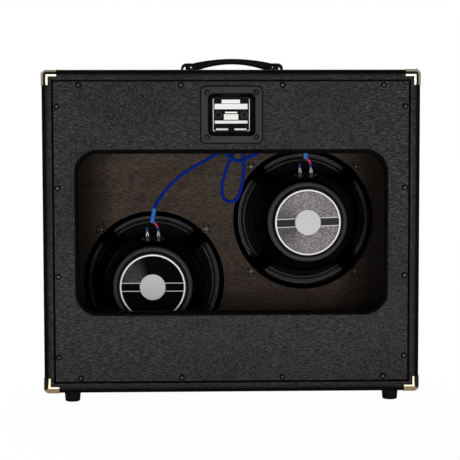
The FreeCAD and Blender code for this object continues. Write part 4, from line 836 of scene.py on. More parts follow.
def copies(pattern: BMesh, places: Iterable[Matrix]) -> BMesh:
    """One shape that holds a copy of a pattern at each place.

    Args:
        pattern: the shape to copy, which is used up.
        places: where the copies go.

    Returns:
        The new shape.
    """
    mesh = bpy.data.meshes.new("pattern")
    pattern.to_mesh(mesh)
    pattern.free()
    shape = bmesh.new()
    for place in places:
        first = len(shape.verts)
        shape.from_mesh(mesh)
        shape.verts.ensure_lookup_table()
        bmesh.ops.transform(shape, matrix=place, verts=shape.verts[first:])
    bpy.data.meshes.remove(mesh)
    return shape


def solids_of(node: str) -> list[tuple[Vector, Vector]]:
    """Find the separate solids in a CAD node.

    Args:
        node: the node's name.

    Returns:
        Lowest and highest corners of each solid, in order of their lowest corners.
    """
    shape = bmesh.new()
    shape.from_mesh(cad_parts[node].data)
    bmesh.ops.remove_doubles(shape, verts=shape.verts, dist=10 * TOUCHING)
    left = set(shape.verts)
    boxes = []
    while left:
        reached, island = [left.pop()], []
        while reached:
            vert = reached.pop()
            island.append(vert.co.copy())
            fresh = {edge.other_vert(vert) for edge in vert.link_edges} & left
            left -= fresh
            reached.extend(fresh)
        low, high = (Vector([pick(place[i] for place in island) for i in range(3)]) for pick in (min, max))
        boxes.append((low, high))
    shape.free()
    return sorted(boxes, key=lambda box: tuple(round(value, 5) for value in box[0]))


def main_axis(towards: Point) -> int:
    """Number of the frame's axis that a way lies along."""
    return max(range(3), key=lambda i: abs(towards[i]))


def outer_ends(boxes: Iterable[tuple[Vector, Vector]], towards: Point) -> list[Matrix]:
    """Places in the middle of solids' ends.

    Args:
        boxes: lowest and highest corners of each solid.
        towards: the way that the ends face, one of the frame's axes.

    Returns:
        The places, facing that way.
    """
    axis = main_axis(towards)
    places = []
    for low, high in boxes:
        at = (low + high) / 2
        at[axis] = high[axis] if towards[axis] > 0 else low[axis]
        places.append(facing(at, towards))
    return places


@dataclass
class CrossScrew:
    """A screw with a low domed head and a cross recess, its head's top at the origin, pointing up Z.

    The shank, the dome's rings, the flat, the cross's arms and its depth are shares of the head's size.
    """

    head_radius: float
    head_height: float
    length: float
    shank: float = 0.45
    dome: tuple[Span, ...] = ((0.86, 0.16), (1.0, 0.55), (1.0, 1.0))
    flat: float = 0.66
    arm: float = 0.52
    arm_width: float = 0.13
    draft: float = 0.6
    recess: float = 0.55
    segments: int = 28

    def shape(self) -> BMesh:
        """Model the screw.

        Returns:
            The new shape.
        """
        shape = bmesh.new()
        bmesh.ops.create_circle(shape, cap_ends=True, segments=self.segments,
                                radius=self.head_radius * self.flat)
        rim = [edge for edge in shape.edges if edge.is_boundary]
        for radius, depth in (*self.dome, (self.shank, 1.0), (self.shank, self.length / self.head_height)):
            rim = self.ring(shape, rim, radius * self.head_radius, -depth * self.head_height)
        bmesh.ops.holes_fill(shape, edges=rim, sides=0)
        self.cut_cross(shape)
        bmesh.ops.recalc_face_normals(shape, faces=shape.faces)
        return shape

    def ring(self, shape: BMesh, rim: list[BMEdge], radius: float, height: float) -> list[BMEdge]:
        """Draw the open rim on to another radius and height.

        Args:
            shape: the screw so far.
            rim: its open edges.
            radius: the new rim's radius.
            height: the new rim's height.

        Returns:
            The new rim.
        """
        made = bmesh.ops.extrude_edge_only(shape, edges=rim)["geom"]
        fresh = {part for part in made if isinstance(part, BMVert)}
        for vert in fresh:
            flat = Vector((vert.co.x, vert.co.y, 0)).normalized() * radius
            vert.co = (flat.x, flat.y, height)
        return [part for part in made if isinstance(part, BMEdge) and set(part.verts) <= fresh]

    def cut_cross(self, shape: BMesh) -> None:
        """Sink a cross with drawn-in sides into the flat middle of the head.

        Args:
            shape: the screw so far.
        """
        wide, long = self.arm_width * self.head_radius, self.arm * self.head_radius
        for axis in ((1, 0, 0), (0, 1, 0)):
            for reach in (-long, -wide, wide, long):
                faces = [face for face in shape.faces if face.normal.z > 0.99 and self.on_top(face)]
                geom = list({part for face in faces for part in (*face.verts, *face.edges)}) + faces
                bmesh.ops.bisect_plane(shape, geom=geom, plane_co=Vector(axis) * reach, plane_no=axis,
                                       dist=TOUCHING)
        cross = []
        for face in filter(self.on_top, shape.faces):
            near, far = sorted(abs(part) for part in face.calc_center_median().xy)
            if far < long and near < wide:
                cross.append(face)
        verts = sink(shape, cross, self.recess * self.head_height)
        bmesh.ops.scale(shape, vec=(self.draft, self.draft, 1), verts=verts)

    def on_top(self, face: BMFace) -> bool:
        """Whether a face lies level with the head's top."""
        return abs(face.calc_center_median().z) < TOUCHING


# Sub-assemblies

@dataclass
class SubAssembly:
    """Pieces that are built and dressed together and ride one body."""

    body: str = "cabinet"

    def dress(self, finish: Finish, *nodes: str) -> None:
        """Give CAD nodes a finish."""
        for node in nodes:
            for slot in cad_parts[node].material_slots:
                slot.material = material_of(finish)
            log.info("%s: %s", node, finish.name)

    def keep(self, name: str, shape: BMesh, finish: Finish, slot: str | None = None,
             stands_for: Sequence[str] = ()) -> Object:
        """Make a finished shape a piece of the cabinet.

        Args:
            name: the piece's name.
            shape: its shape, which is used up.
            finish: its finish.
            slot: the record's name for that finish, if it isn't the finish's own.
            stands_for: CAD nodes that it is shown in place of.

        Returns:
            The new object.
        """
        mesh = bpy.data.meshes.new(name)
        shape.to_mesh(mesh)
        shape.free()
        mesh.shade_smooth()
        mesh.set_sharp_from_angle(angle=SMOOTH_ANGLE)
        return self.settle(bpy.data.objects.new(name, mesh), finish, slot, stands_for)

    def settle(self, thing: Object, finish: Finish, slot: str | None = None,
               stands_for: Sequence[str] = ()) -> Object:
        """Put an object into the scene with its finish and body.

        Args:
            thing: the object.
            finish: its finish.
            slot: not used.
            stands_for: CAD nodes that it is shown in place of.

        Returns:
            The same object.
        """
        thing.data.materials.append(material_of(finish))
        show(thing)
        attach(thing, self.body)
        if stands_for:
            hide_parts(*stands_for)
        log.info("%s: %s, on %s", thing.name, finish.name, self.body)
        return thing

    def screws(self, name: str, node: str, towards: Point, finish: Finish, head_share: float,
               slot: str | None = None, trim: float = 1.0) -> None:
        """Show cross-headed screws in place of a node's plain ones.

        Args:
            name: the piece's name.
            node: the CAD node with the plain screws.
            towards: the way their heads face, one of the frame's axes.
            finish: their finish.
            head_share: the head's height as a share of its radius.
            slot: the record's name for that finish, if it isn't the finish's own.
            trim: the shown head's radius as a share of the plain one's.
        """
        boxes = solids_of(node)
        axis = main_axis(towards)
        size = boxes[0][1] - boxes[0][0]
        radius = trim * size[(axis + 1) % 3] / 2
        screw = CrossScrew(radius, radius * head_share, size[axis])
        self.keep(name, copies(screw.shape(), outer_ends(boxes, towards)), finish, slot, [node])


@dataclass
class Shell(SubAssembly):
    """The covered box, its corner caps with their screws, and its feet."""

    screw_radius: float = 0.0027
    screw_height: float = 0.0011
    screw_length: float = 0.003
    screw_shank: float = 0.5
    screw_along: float = 0.021
    screw_in: float = 0.0066

    def build(self) -> None:
        """Dress the boards, covering, corners and feet, and add the corner screws."""
        self.dress(Finish.birch_plywood, "top_board", "bottom_board", "left_board", "right_board")
        self.dress(Finish.edge_vinyl, "shell_covering")
        self.dress(Finish.bright_nickel, "corner_protectors")
        self.dress(Finish.foot_rubber, "feet")
        self.dress(Finish.zinc_steel, "foot_screws")
        self.dress(Finish.batten_wood, "baffle_battens", "rear_battens")
        self.corner_screws()

    def corner_screws(self) -> None:
        """Two screws in each corner cap, one on the top or bottom and one on the side."""
        low, high = corners_of("corner_protectors")
        middle, half = (low + high) / 2, (high - low) / 2
        places = []
        for sx, sy, sz in itertools.product(SIDES, repeat=3):
            y = sy * (half.y - self.screw_along)
            side = (sx * (half.x + self.screw_height), y, middle.z + sz * (half.z - self.screw_in))
            lid = (sx * (half.x - self.screw_in), y, middle.z + sz * (half.z + self.screw_height))
            places += [facing(side, (sx, 0, 0)), facing(lid, (0, 0, sz))]
        screw = CrossScrew(self.screw_radius, self.screw_height, self.screw_length, self.screw_shank)
        self.keep("corner_screws", copies(screw.shape(), places), Finish.bright_nickel)


@dataclass
class BackPanel(SubAssembly):
    """The covered back panel with its wide opening, screws and finishing washers."""

    head_share: float = 0.42
    head_trim: float = 0.8

    def build(self) -> None:
        """Dress the panel and give its screws their recesses."""
        self.dress(Finish.birch_plywood, "back_panel")
        self.dress(Finish.vinyl, "back_panel_covering")
        self.dress(Finish.washer_black, "back_panel_washers")
        self.screws("panel_screws", "back_panel_screws", REAR, Finish.black_screw, self.head_share,
                    trim=self.head_trim)


@dataclass
class JackPlate(SubAssembly):
    """The recessed jack dish with its sockets and the plain print on its floor.

    The print's frame and bars are placed about the middle of the two jacks. Each bar is its least X, its most
    X, its least Z and its most Z. The black ring of painted shade round the flange is its width, thickness
    and corner radius, and the washer is its inner radius, outer radius and thickness.
    """

    head_share: float = 0.42
    shadow_ring: Point = (0.0017, 0.0004, 0.0085)
    washer: Point = (0.0021, 0.0052, 0.0003)
    washer_steps: int = 40
    floor_share: float = 0.35
    look_from: float = 0.1
    ground: Point = (0.0712, 0.00008, 0.0642)
    ground_round: float = 0.4
    ink: float = 0.00012
    line: float = 0.0011
    frame_x: float = 0.0336
    frame_foot: float = 0.0295
    frame_top: float = 0.0300
    frame_low: float = -0.0295
    bars: tuple[tuple[float, float, float, float], ...] = (
        (-0.0302, 0.0312, 0.0105, 0.0205), (-0.0162, 0.0179, 0.0212, 0.0282),
        (-0.0130, 0.0138, -0.0090, 0.0013), (-0.0110, 0.0115, 0.0030, 0.0058),
        (-0.0302, 0.0308, -0.0160, -0.0106), (0.0060, 0.0285, -0.0284, -0.0252),
        (-0.0282, -0.0060, -0.0284, -0.0252))

    def build(self) -> None:
        """Dress the dish and its jacks, and add the print, a black ring of painted shade round the flange and
        the washers.
        """
        self.dress(Finish.dish_plastic, "jack_plate")
        self.dress(Finish.jack_plastic, "left_jack", "right_jack")
        self.dress(Finish.dish_plastic, "jack_nuts")
        self.dress(Finish.tinned_metal, "jack_lugs")
        self.screws("plate_screws", "jack_plate_screws", REAR, Finish.plate_screw, self.head_share,
                    "black_screw")
        self.floor_print()
        self.flange_shadow()
        self.washers()

    def floor_print(self) -> None:
        """A black ground, a thin frame line and blank bars in white ink, with no lettering."""
        jacks = (middle_of("left_jack") + middle_of("right_jack")) / 2
        low, high = corners_of("jack_plate")
        thick = self.ground[1]
        floor = self.level((low.x + high.x) / 2, low.z + self.floor_share * (high.z - low.z))
        ground = block(self.ground, thick * self.ground_round, 1)
        bmesh.ops.translate(ground, vec=(jacks.x, floor + thick / 2, jacks.z), verts=ground.verts)
        self.keep("jack_floor_ground", ground, Finish.black_ink, "dish_plastic")
        bars = list(self.bars)
        half = self.line / 2
        for x in (-self.frame_x, self.frame_x):
            bars.append((x - half, x + half, self.frame_low, self.frame_top))
        for x0, x1 in ((-self.frame_x, -self.frame_foot), (self.frame_foot, self.frame_x)):
            bars.append((x0, x1, self.frame_low - half, self.frame_low + half))
        shape = bmesh.new()
        for x0, x1, z0, z1 in bars:
            centre = (jacks.x + (x0 + x1) / 2, floor + thick + self.ink / 2, jacks.z + (z0 + z1) / 2)
            add_block(shape, (x1 - x0, self.ink, z1 - z0), centre)
        self.keep("jack_floor_print", shape, Finish.white_ink, "dish_plastic")

    def flange_shadow(self) -> None:
        """A black ring all round the flange, painted shade standing for the shadow at the flange's edge."""
        # Painted shade: a black ring where the flange's rounded edge is in shadow.
        wide, thick, corner = self.shadow_ring
        low, high = corners_of("jack_plate")
        rear = corners_of("back_panel_covering")[1].y
        centre, half = (low + high) / 2, (high - low) / 2
        shape = bmesh.new()
        loops = []
        for grow, depth in ((0.0, 0.0), (0.0, thick), (wide, thick), (wide, 0.0)):
            outline = rounded_outline(half.x + grow, half.z + grow, corner + grow)
            loops.append([shape.verts.new((centre.x + x, rear + depth, centre.z + z)) for x, z in outline])
        for first, second in zip(loops, loops[1:] + loops[:1]):
            for i in range(len(first)):
                shape.faces.new((first[i - 1], first[i], second[i], second[i - 1]))
        bmesh.ops.recalc_face_normals(shape, faces=shape.faces)
        self.keep("plate_gasket", shape, Finish.black_ink, "dish_plastic")

    def washers(self) -> None:
        """Flat black washers under the plate's screws."""
        inner, outer, thick = self.washer
        pattern = turned([(inner, 0.0), (outer, 0.0), (outer, thick), (inner, thick)], self.washer_steps)
        places = []
        for low, high in solids_of("jack_plate_screws"):
            at = (low + high) / 2
            at.y = self.level(at.x + outer, at.z)
            places.append(facing(at, REAR))
        self.keep("plate_washers", copies(pattern, places), Finish.black_ink, "black_screw")

    def level(self, x: float, z: float) -> float:
        """Find the plate's rear side by looking straight at it.

        Args:
            x: how far sideways to look.
            z: how high to look.

        Returns:
            The Y of its surface there.
        """
        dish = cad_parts["jack_plate"]
        low, high = corners_of("jack_plate")
        start = Vector((x, high.y + self.look_from, z))
        hit, at, _, _ = dish.ray_cast(dish.matrix_world.inverted() @ start, -Vector(REAR))
        return (dish.matrix_world @ at).y if hit else low.y


@dataclass
class Handle(SubAssembly):
    """The strap handle's end caps with their screws, and the strap between them.

    The cheek is its gap and thickness. Its blocks are each a near end, a far end, a foot and a head, from the
    cap's outer end and lower side.
    """

    head_share: float = 0.4
    cheek: Span = (0.00006, 0.0009)
    cheek_blocks: tuple[tuple[float, float, float, float], ...] = (
        (0.0086, 0.0178, 0.0, 0.0126), (0.0178, 0.0212, 0.0, 0.0088), (0.0178, 0.0212, 0.0114, 0.0126),
        (0.0212, 0.0234, 0.0, 0.0172))

    def build(self) -> None:
        """Dress the caps, give the screws their recesses and model the strap and the cheeks."""
        self.dress(Finish.cap_plastic, "handle_caps")
        self.screws("cap_screws", "handle_screws", UP, Finish.black_screw, self.head_share)
        Strap().build()
        self.cheeks()

    def cheeks(self) -> None:
        """Thin walls on the caps' long sides, each with a gap at its end and a small window."""
        low, high = corners_of("handle_caps")
        clear, thick = self.cheek
        shape = bmesh.new()
        for sx, sy in itertools.product(SIDES, repeat=2):
            for near, far, foot, head in self.cheek_blocks:
                x = (low.x if sx < 0 else high.x) - sx * (near + far) / 2
                y = (low.y if sy < 0 else high.y) + sy * (clear + thick / 2)
                add_block(shape, (far - near, thick, head - foot), (x, y, low.z + (foot + head) / 2))
        self.keep("cap_cheeks", shape, Finish.cap_plastic)


@dataclass
class Strap(SubAssembly):
    """The handle's arched strap, which lifts in its end caps."""

    body: str = "handle"
    shoulder: float = 0.0765
    shoulder_top: float = 0.0170
    under_apex: float = 0.0158
    tongue: float = 0.0040
    edge: float = 0.0026
    end_edge: float = 0.0008
    edge_steps: int = 4
    sharp: float = 0.6
    cuts: int = 47

    def build(self) -> None:
        """An arched strap, soft along its edges, with a thin tongue at each end."""
        low, high = corners_of("handle_strap")
        size = high - low
        shape = bmesh.new()
        add_block(shape, (2 * self.shoulder, size.y, 1))
        long = [edge for edge in shape.edges if self.length(edge) > self.shoulder]
        bmesh.ops.subdivide_edges(shape, edges=long, cuts=self.cuts, use_grid_fill=True)
        for vert in shape.verts:
            end, apex = (self.shoulder_top, size.z) if vert.co.z > 0 else (0.0, self.under_apex)
            vert.co.z = self.arch(vert.co.x, end, apex)
        for offset, at_ends in ((self.edge, False), (self.end_edge, True)):
            edges = [edge for edge in shape.edges if edge.calc_face_angle(0) > self.sharp
                     and (self.length(edge) < 10 * TOUCHING) == at_ends]
            round_edges(shape, edges, offset, self.edge_steps, clamp=True)
        length = size.x / 2 - self.shoulder + 2 * self.edge
        for side in SIDES:
            centre = (side * (size.x - length) / 2, 0, self.tongue / 2)
            add_block(shape, (length, size.y, self.tongue), centre)
        middle = (low + high) / 2
        bmesh.ops.translate(shape, vec=(middle.x, middle.y, low.z), verts=shape.verts)
        self.keep("strap", shape, Finish.strap_rubber, stands_for=["handle_strap"])

    def length(self, edge: BMEdge) -> float:
        """How far an edge reaches along the strap."""
        return abs(edge.verts[0].co.x - edge.verts[1].co.x)

    def arch(self, x: float, end: float, apex: float) -> float:
        """Height on the circle that passes through both shoulders and the apex.

        Args:
            x: how far along the strap from its middle.
            end: the height at the shoulders.
            apex: the height in the middle.

        Returns:
            The height there.
        """
        rise = apex - end
        radius = (self.shoulder ** 2 + rise ** 2) / (2 * rise)
        return apex - radius + math.sqrt(radius ** 2 - x ** 2)


@dataclass
class Front(SubAssembly):
    """The baffle and the grille in front of it: frame, stretched cloth and hook-and-loop pads."""

    cloth_thick: float = 0.0008
    cloth_round: float = 0.0035
    fold_steps: int = 4
    pad_round: float = 0.0016

    def build(self) -> None:
        """Dress the baffle and the grille's frame, stretch the cloth and model the pads."""
        self.dress(Finish.stained_plywood, "baffle_board")
        self.dress(Finish.black_screw, "baffle_screws")
        self.dress(Finish.grille_wood, "grille_frame")
        self.cloth()
        self.pads()

    def cloth(self) -> None:
        """A sheet drawn over the frame's front and round its edges."""
        low, high = corners_of("grille_cloth")
        size = high - low
        shape = bmesh.new()
        add_block(shape, size)
        back = [face for face in shape.faces if face.normal.y > 0.9]
        bmesh.ops.delete(shape, geom=back, context="FACES_ONLY")
        folds = [edge for edge in shape.edges if not edge.is_boundary]
        round_edges(shape, folds, self.cloth_round, self.fold_steps)
        bmesh.ops.translate(shape, vec=(low + high) / 2, verts=shape.verts)
        bmesh.ops.recalc_face_normals(shape, faces=shape.faces)
        cloth = self.keep("stretched_cloth", shape, Finish.grille_weave, stands_for=["grille_cloth"])
        wall = cloth.modifiers.new("thickness", "SOLIDIFY")
        wall.thickness = self.cloth_thick
        wall.offset = -1

    def pads(self) -> None:
        """Soft-edged pads where the CAD has plain ones."""
        boxes = solids_of("grille_pads")
        pattern = block(boxes[0][1] - boxes[0][0], self.pad_round)
        places = [Matrix.Translation((low + high) / 2) for low, high in boxes]
        self.keep("hook_and_loop_pads", copies(pattern, places), Finish.hook_and_loop,
                  stands_for=["grille_pads"])


@dataclass(kw_only=True)
class Driver(SubAssembly):
    """One driver: its pressed basket, motor, moving paper, printed disc and solder tags.

    The tags are placed from the magnet's middle and the terminal strip's rear side, and lean in degrees.
    """

    name: str
    print_and_glint_finish: Finish
    edge_finish: Finish
    label_inner: float = 0.0253
    label_outer: float = 0.0640
    label_round: float = 0.00012
    label_steps: int = 160
    tag_size: Point = (0.0105, 0.0030, 0.0005)
    tag_round: float = 0.45
    tag_at: Point = (0.0172, 0.0022, 0.0890)
    tag_lean: float = 24.0
    tag_rise: float = 16.0

    def build(self) -> None:
        """Dress the driver's nodes and add its solder tags and printed disc."""
        finishes = {"basket": Finish.basket_paint, "top_plate": Finish.plate_steel,
                    "back_plate": Finish.plate_steel, "magnet": Finish.ferrite, "cone": Finish.cone_paper,
                    "surround": self.edge_finish, "dust_cap": Finish.dust_cap_paper,
                    "spider": Finish.spider_cloth, "voice_coil": Finish.coil_metal}
        for piece, finish in finishes.items():
            self.dress(finish, f"{self.name}_{piece}")
        self.solder_tags()
        self.label()

    def solder_tags(self) -> None:
        """A bent tag on each end of the terminal strip."""
        centre = middle_of(f"{self.name}_magnet")
        rear = corners_of("terminal_strips")[1].y
        x, y, z = self.tag_at
        pattern = block(self.tag_size, self.tag_size[2] * self.tag_round, 2)
        places = []
        for side in SIDES:
            place = Matrix.Translation((centre.x + side * x, rear + y, centre.z + z))
            for degrees, axis in ((-side * self.tag_rise, "Y"), (side * self.tag_lean, "Z"), (90, "X")):
                place = place @ Matrix.Rotation(math.radians(degrees), 4, axis)
            places.append(place)
        self.keep(f"{self.name}_solder_tags", copies(pattern, places), Finish.plate_screw, "tinned_metal")

    def label(self) -> None:
        """The printed disc on the back plate."""
        low, high = corners_of("driver_labels")
        inner, outer, soft = self.label_inner, self.label_outer, self.label_round
        shape = turned([(inner, low.y), (outer, low.y), (outer, high.y - soft), (outer - soft, high.y),
                        (inner, high.y)], self.label_steps)
        centre = middle_of(f"{self.name}_magnet")
        place = Matrix.Translation((centre.x, 0, centre.z)) @ Matrix.Rotation(-math.pi / 2, 4, "X")
        bmesh.ops.transform(shape, matrix=place, verts=shape.verts)
        self.keep(f"{self.name}_label", shape, self.print_and_glint_finish, "label_print", ["driver_labels"])


@dataclass
class DriverFittings(SubAssembly):
    """What both drivers share: gaskets, bolts, tee nuts, vent caps and terminals.

    The tee nuts' bore, barrel, flange, collar, rings, bright band and notch_from are radii. The slope and the
    lip draw the collar in at its top. Half a notch is in degrees, and its depth is a share of thick.
    """

    bore: float = 0.0026
    barrel: float = 0.0033
    flange: float = 0.0098
    collar: float = 0.0048
    thick: float = 0.0012
    soft: float = 0.0003
    raised: float = 0.0005
    slope: float = 0.0007
    lip: Span = (0.0004, 0.0001)
    rings: tuple[float, ...] = (0.0086, 0.0081, 0.0061, 0.0056)
    bright: Span = (0.0058, 0.0084)
    notch_from: float = 0.0062
    notch_half: float = 14.0
    notch_depth: float = 0.8
    dark_below: float = 0.4
    nut_steps: int = 64

    def build(self) -> None:
        """Dress the shared nodes and model the tee nuts."""
        self.dress(Finish.gasket_board, "gaskets")
        self.dress(Finish.vent_silver, "vent_caps")
        self.dress(Finish.zinc_steel, "driver_bolts")
        self.dress(Finish.terminal_board, "terminal_strips")
        self.dress(Finish.plate_screw, "terminal_tabs")
        self.tee_nuts()

    def tee_nuts(self) -> None:
        """Flanged nuts with a raised collar and the four gaps that their prongs were bent from, with painted
        shade on the rim, in the gaps and beside the collar.
        """
        boxes = solids_of("tee_nuts")
        length = boxes[0][1].y - boxes[0][0].y
        section = [(self.bore, -length), (self.barrel, -length), (self.barrel, -self.thick),
                   (self.flange, -self.thick), (self.flange, -self.soft), (self.flange - self.soft, 0.0),
                   *((ring, 0.0) for ring in self.rings), (self.collar, 0.0),
                   (self.collar - self.slope, self.raised), (self.bore + self.lip[0], self.raised),
                   (self.bore, self.lip[1])]
        shape = turned(section, self.nut_steps)
        gaps = []
        for face in shape.faces:
            at = face.calc_center_median()
            turn = math.degrees(math.atan2(at.y, at.x)) % 90 - 45
            if face.normal.z > 0.9 and at.xy.length > self.notch_from and abs(turn) < self.notch_half:
                gaps.append(face)
        sink(shape, gaps, self.notch_depth * self.thick)
        # Painted shade: black on the rim, in the prong gaps and in a ring beside the collar; lit on the band
        # between and on the collar's top.
        shade = shape.verts.layers.float.new("shade")
        for vert in shape.verts:
            radius = vert.co.xy.length
            lit = self.bright[0] < radius < self.bright[1] or radius < self.collar - self.slope / 2
            vert[shade] = 1.0 if lit and vert.co.z > -self.dark_below * self.thick else 0.0
        self.keep("pronged_tee_nuts", copies(shape, outer_ends(boxes, REAR)), Finish.dark_steel, "zinc_steel",
                  ["tee_nuts"])


# Each cable's route, from its jack to its sleeve
LOWER_ROUTE: tuple[Point, ...] = (
    (-0.024, 0.076, 0.537), (-0.023, 0.063, 0.533), (-0.018, 0.045, 0.519), (-0.006, 0.032, 0.499),
    (0.010, 0.027, 0.478), (0.028, 0.027, 0.462), (0.048, 0.028, 0.4505), (0.0715, 0.0275, 0.438),
    (0.0915, 0.026, 0.4245), (0.1095, 0.023, 0.410), (0.1255, 0.018, 0.3925), (0.137, 0.013, 0.376),
    (0.1456, 0.0078, 0.3629), (0.1472, 0.0035, 0.354))
UPPER_ROUTE: tuple[Point, ...] = (
    (0.024, 0.076, 0.537), (0.0243, 0.060, 0.534), (0.0248, 0.050, 0.522), (0.0235, 0.049, 0.506),
    (0.0195, 0.051, 0.489), (0.0105, 0.052, 0.4665), (-0.002, 0.051, 0.4535), (-0.017, 0.051, 0.4495),
    (-0.034, 0.0515, 0.4555), (-0.0575, 0.053, 0.468), (-0.0668, 0.0545, 0.479), (-0.0678, 0.056, 0.4935),
    (-0.060, 0.0575, 0.506), (-0.0467, 0.0585, 0.5115), (-0.0326, 0.059, 0.508), (-0.0242, 0.059, 0.496),
    (-0.0236, 0.0588, 0.474), (-0.0252, 0.0578, 0.442), (-0.0235, 0.0565, 0.414), (-0.0193, 0.055, 0.3945),
    (-0.0142, 0.0538, 0.379), (-0.0056, 0.0526, 0.3725), (0.0051, 0.0514, 0.3726), (0.0136, 0.0502, 0.379),
    (0.0165, 0.049, 0.390), (0.016, 0.0476, 0.406), (0.0105, 0.0455, 0.426), (0.003, 0.043, 0.446),
    (-0.007, 0.041, 0.467), (-0.022, 0.038, 0.488), (-0.043, 0.033, 0.506), (-0.070, 0.027, 0.517),
    (-0.098, 0.022, 0.520), (-0.122, 0.018, 0.5165), (-0.137, 0.0148, 0.510), (-0.1458, 0.0118, 0.501),
    (-0.1492, 0.0082, 0.4904), (-0.149, 0.0035, 0.480))


@dataclass(kw_only=True)
class Cable(SubAssembly):
    """One cable from a jack to a driver, with its sleeve, two leads and their push-on connectors.

    The cable splits into its leads at split. The boot is its two radii, the floor is a receptacle's flat
    size, the barrel is its two radii and length, and the collar is its lower and upper end. Connectors lean
    in degrees.
    """

    name: str
    length: float
    route: tuple[Point, ...]
    split: Point
    diameter: float = 0.0065
    lead: float = 0.0038
    lead_spread: float = 0.0021
    lead_drop: float = 0.0012
    boot: Span = (0.0040, 0.0046)
    boot_cover: float = 0.005
    boot_steps: int = 32
    tab_x: float = 0.0108
    lean: float = 5.0
    lift: float = 0.0034
    floor: Point = (0.0054, 0.0006, 0.0062)
    roll: float = 0.0010
    barrel: Point = (0.0021, 0.0016, 0.0042)
    barrel_overlap: float = 0.0006
    collar: Span = (0.0108, 0.0184)
    collar_radius: float = 0.0031
    collar_steps: int = 28

    def build(self) -> None:
        """Lay the cable and its leads and model the connectors at their ends."""
        carried = [self.sleeve(), *map(self.lead_wire, SIDES), self.receptacles(), self.collars()]
        cable = self.line(f"{self.name}_speaker_cable", self.route, self.diameter, Finish.cable_blue,
                          f"{self.name}_cable")

    def line(self, name: str, route: Sequence[Sequence[float]], diameter: float, finish: Finish,
             node: str) -> Object:
        """A round cord on one smooth curve through a route.

        Args:
            name: the piece's name.
            route: the curve's control points.
            diameter: the cord's diameter.
            finish: its finish.
            node: the CAD node that it is shown in place of.

        Returns:
            The new object.
        """
        curve = bpy.data.curves.new(name, "CURVE")
        curve.dimensions = "3D"
        curve.bevel_depth = diameter / 2
        curve.bevel_resolution = 6
        curve.resolution_u = 10
        curve.use_fill_caps = True
        spline = curve.splines.new("NURBS")
        spline.points.add(len(route) - 1)
        for point, at in zip(spline.points, route):
            point.co = (*at, 1.0)
        spline.order_u = 3
        spline.use_endpoint_u = True
        return self.settle(bpy.data.objects.new(name, curve), finish, stands_for=[node])

    def sleeve(self) -> Object:
        """The shrunk sleeve where the cable splits into its two leads.

        Returns:
            The new object.
        """
        end = Vector(self.split)
        way = (end - Vector(self.route[-1])).normalized()
        start = Vector(self.route[-1]) - way * self.boot_cover
        length = (end - start).length
        small, large = self.boot
        section = [(0.0, 0.0), (small - 0.0003, 0.0), (small, 0.0004), (small + 0.0001, 0.3 * length),
                   (small - 0.0001, 0.45 * length), (small + 0.0002, 0.62 * length), (large, 0.9 * length),
                   (large, length - 0.0005), (large - 0.0005, length), (0.0, length)]
        shape = turned(section, self.boot_steps)
        bmesh.ops.transform(shape, matrix=facing(start, way), verts=shape.verts)
        return self.keep(f"{self.name}_split_sleeve", shape, Finish.boot_blue, stands_for=["cable_boots"])

    def lead_wire(self, side: int) -> Object:
        """The red or black lead from the sleeve's end into its connector.

        Args:
            side: -1 for the red lead, 1 for the black one.

        Returns:
            The new object.
        """
        colour, finish = ("red", Finish.lead_red) if side < 0 else ("black", Finish.lead_black)
        place = self.connector_at(side)
        mouth = place @ Vector((0, 0, self.collar[1] + self.lead_drop))
        foot = place @ Vector((0, 0, self.collar[0]))
        first = Vector(self.split) + Vector((side * self.lead_spread, -self.lead_drop, self.lead_drop))
        route = (first, first.lerp(mouth, 0.5), mouth, foot)
        return self.line(f"{self.name}_{colour}_lead", route, self.lead, finish, f"{colour}_leads")

    def connector_at(self, side: int) -> Matrix:
        """Place of the connector on one side: its mouth's middle, leaning with the lead.

        Args:
            side: -1 for the red lead's, 1 for the black one's.

        Returns:
            The place.
        """
        x = middle_of(f"{self.name}_magnet").x + side * self.tab_x
        boxes = solids_of("push_on_connectors")
        low, high = min(boxes, key=lambda box: abs((box[0].x + box[1].x) / 2 - x))
        mouth = ((low.x + high.x) / 2, (low.y + high.y) / 2, low.z + self.lift)
        return Matrix.Translation(mouth) @ Matrix.Rotation(math.radians(self.lean), 4, "Y")

    def at_both(self, name: str, pattern: BMesh, finish: Finish, node: str) -> Object:
        """Show a shape at both of the cable's connectors, in place of a CAD node."""
        places = [self.connector_at(side) for side in SIDES]
        return self.keep(f"{self.name}_{name}", copies(pattern, places), finish, stands_for=[node])

    def receptacles(self) -> Object:
        """Push-on receptacles: a flat floor with rolled sides and a crimped barrel above it.

        Returns:
            The new object.
        """
        wide, thick, high = self.floor
        shape = block(self.floor, thick * 0.3, 2)
        bmesh.ops.translate(shape, vec=(0, -self.roll + thick / 2, high / 2), verts=shape.verts)
        for side in SIDES:
            self.tube(shape, (self.roll, self.roll), high, (side * (wide / 2 - self.roll), 0, 0), 16)
        large, small, length = self.barrel
        neck = high - self.barrel_overlap
        self.tube(shape, (large, small), 0.4 * length, (0, 0, neck), 20)
        self.tube(shape, (small, small * 1.12), 0.6 * length, (0, 0, neck + 0.4 * length), 20)
        return self.at_both("receptacles", shape, Finish.tinned_metal, "push_on_connectors")

    def tube(self, shape: BMesh, radii: Span, length: float, foot: Point, segments: int) -> None:
        """Add an upright round bar to a shape.

        Args:
            shape: the shape.
            radii: the bar's radius at its foot and at its top.
            length: its length.
            foot: the middle of its foot.
            segments: facets round it.
        """
        made = bmesh.ops.create_cone(shape, cap_ends=True, segments=segments, radius1=radii[0],
                                     radius2=radii[1], depth=length)["verts"]
        bmesh.ops.translate(shape, vec=Vector(foot) + Vector((0, 0, length / 2)), verts=made)

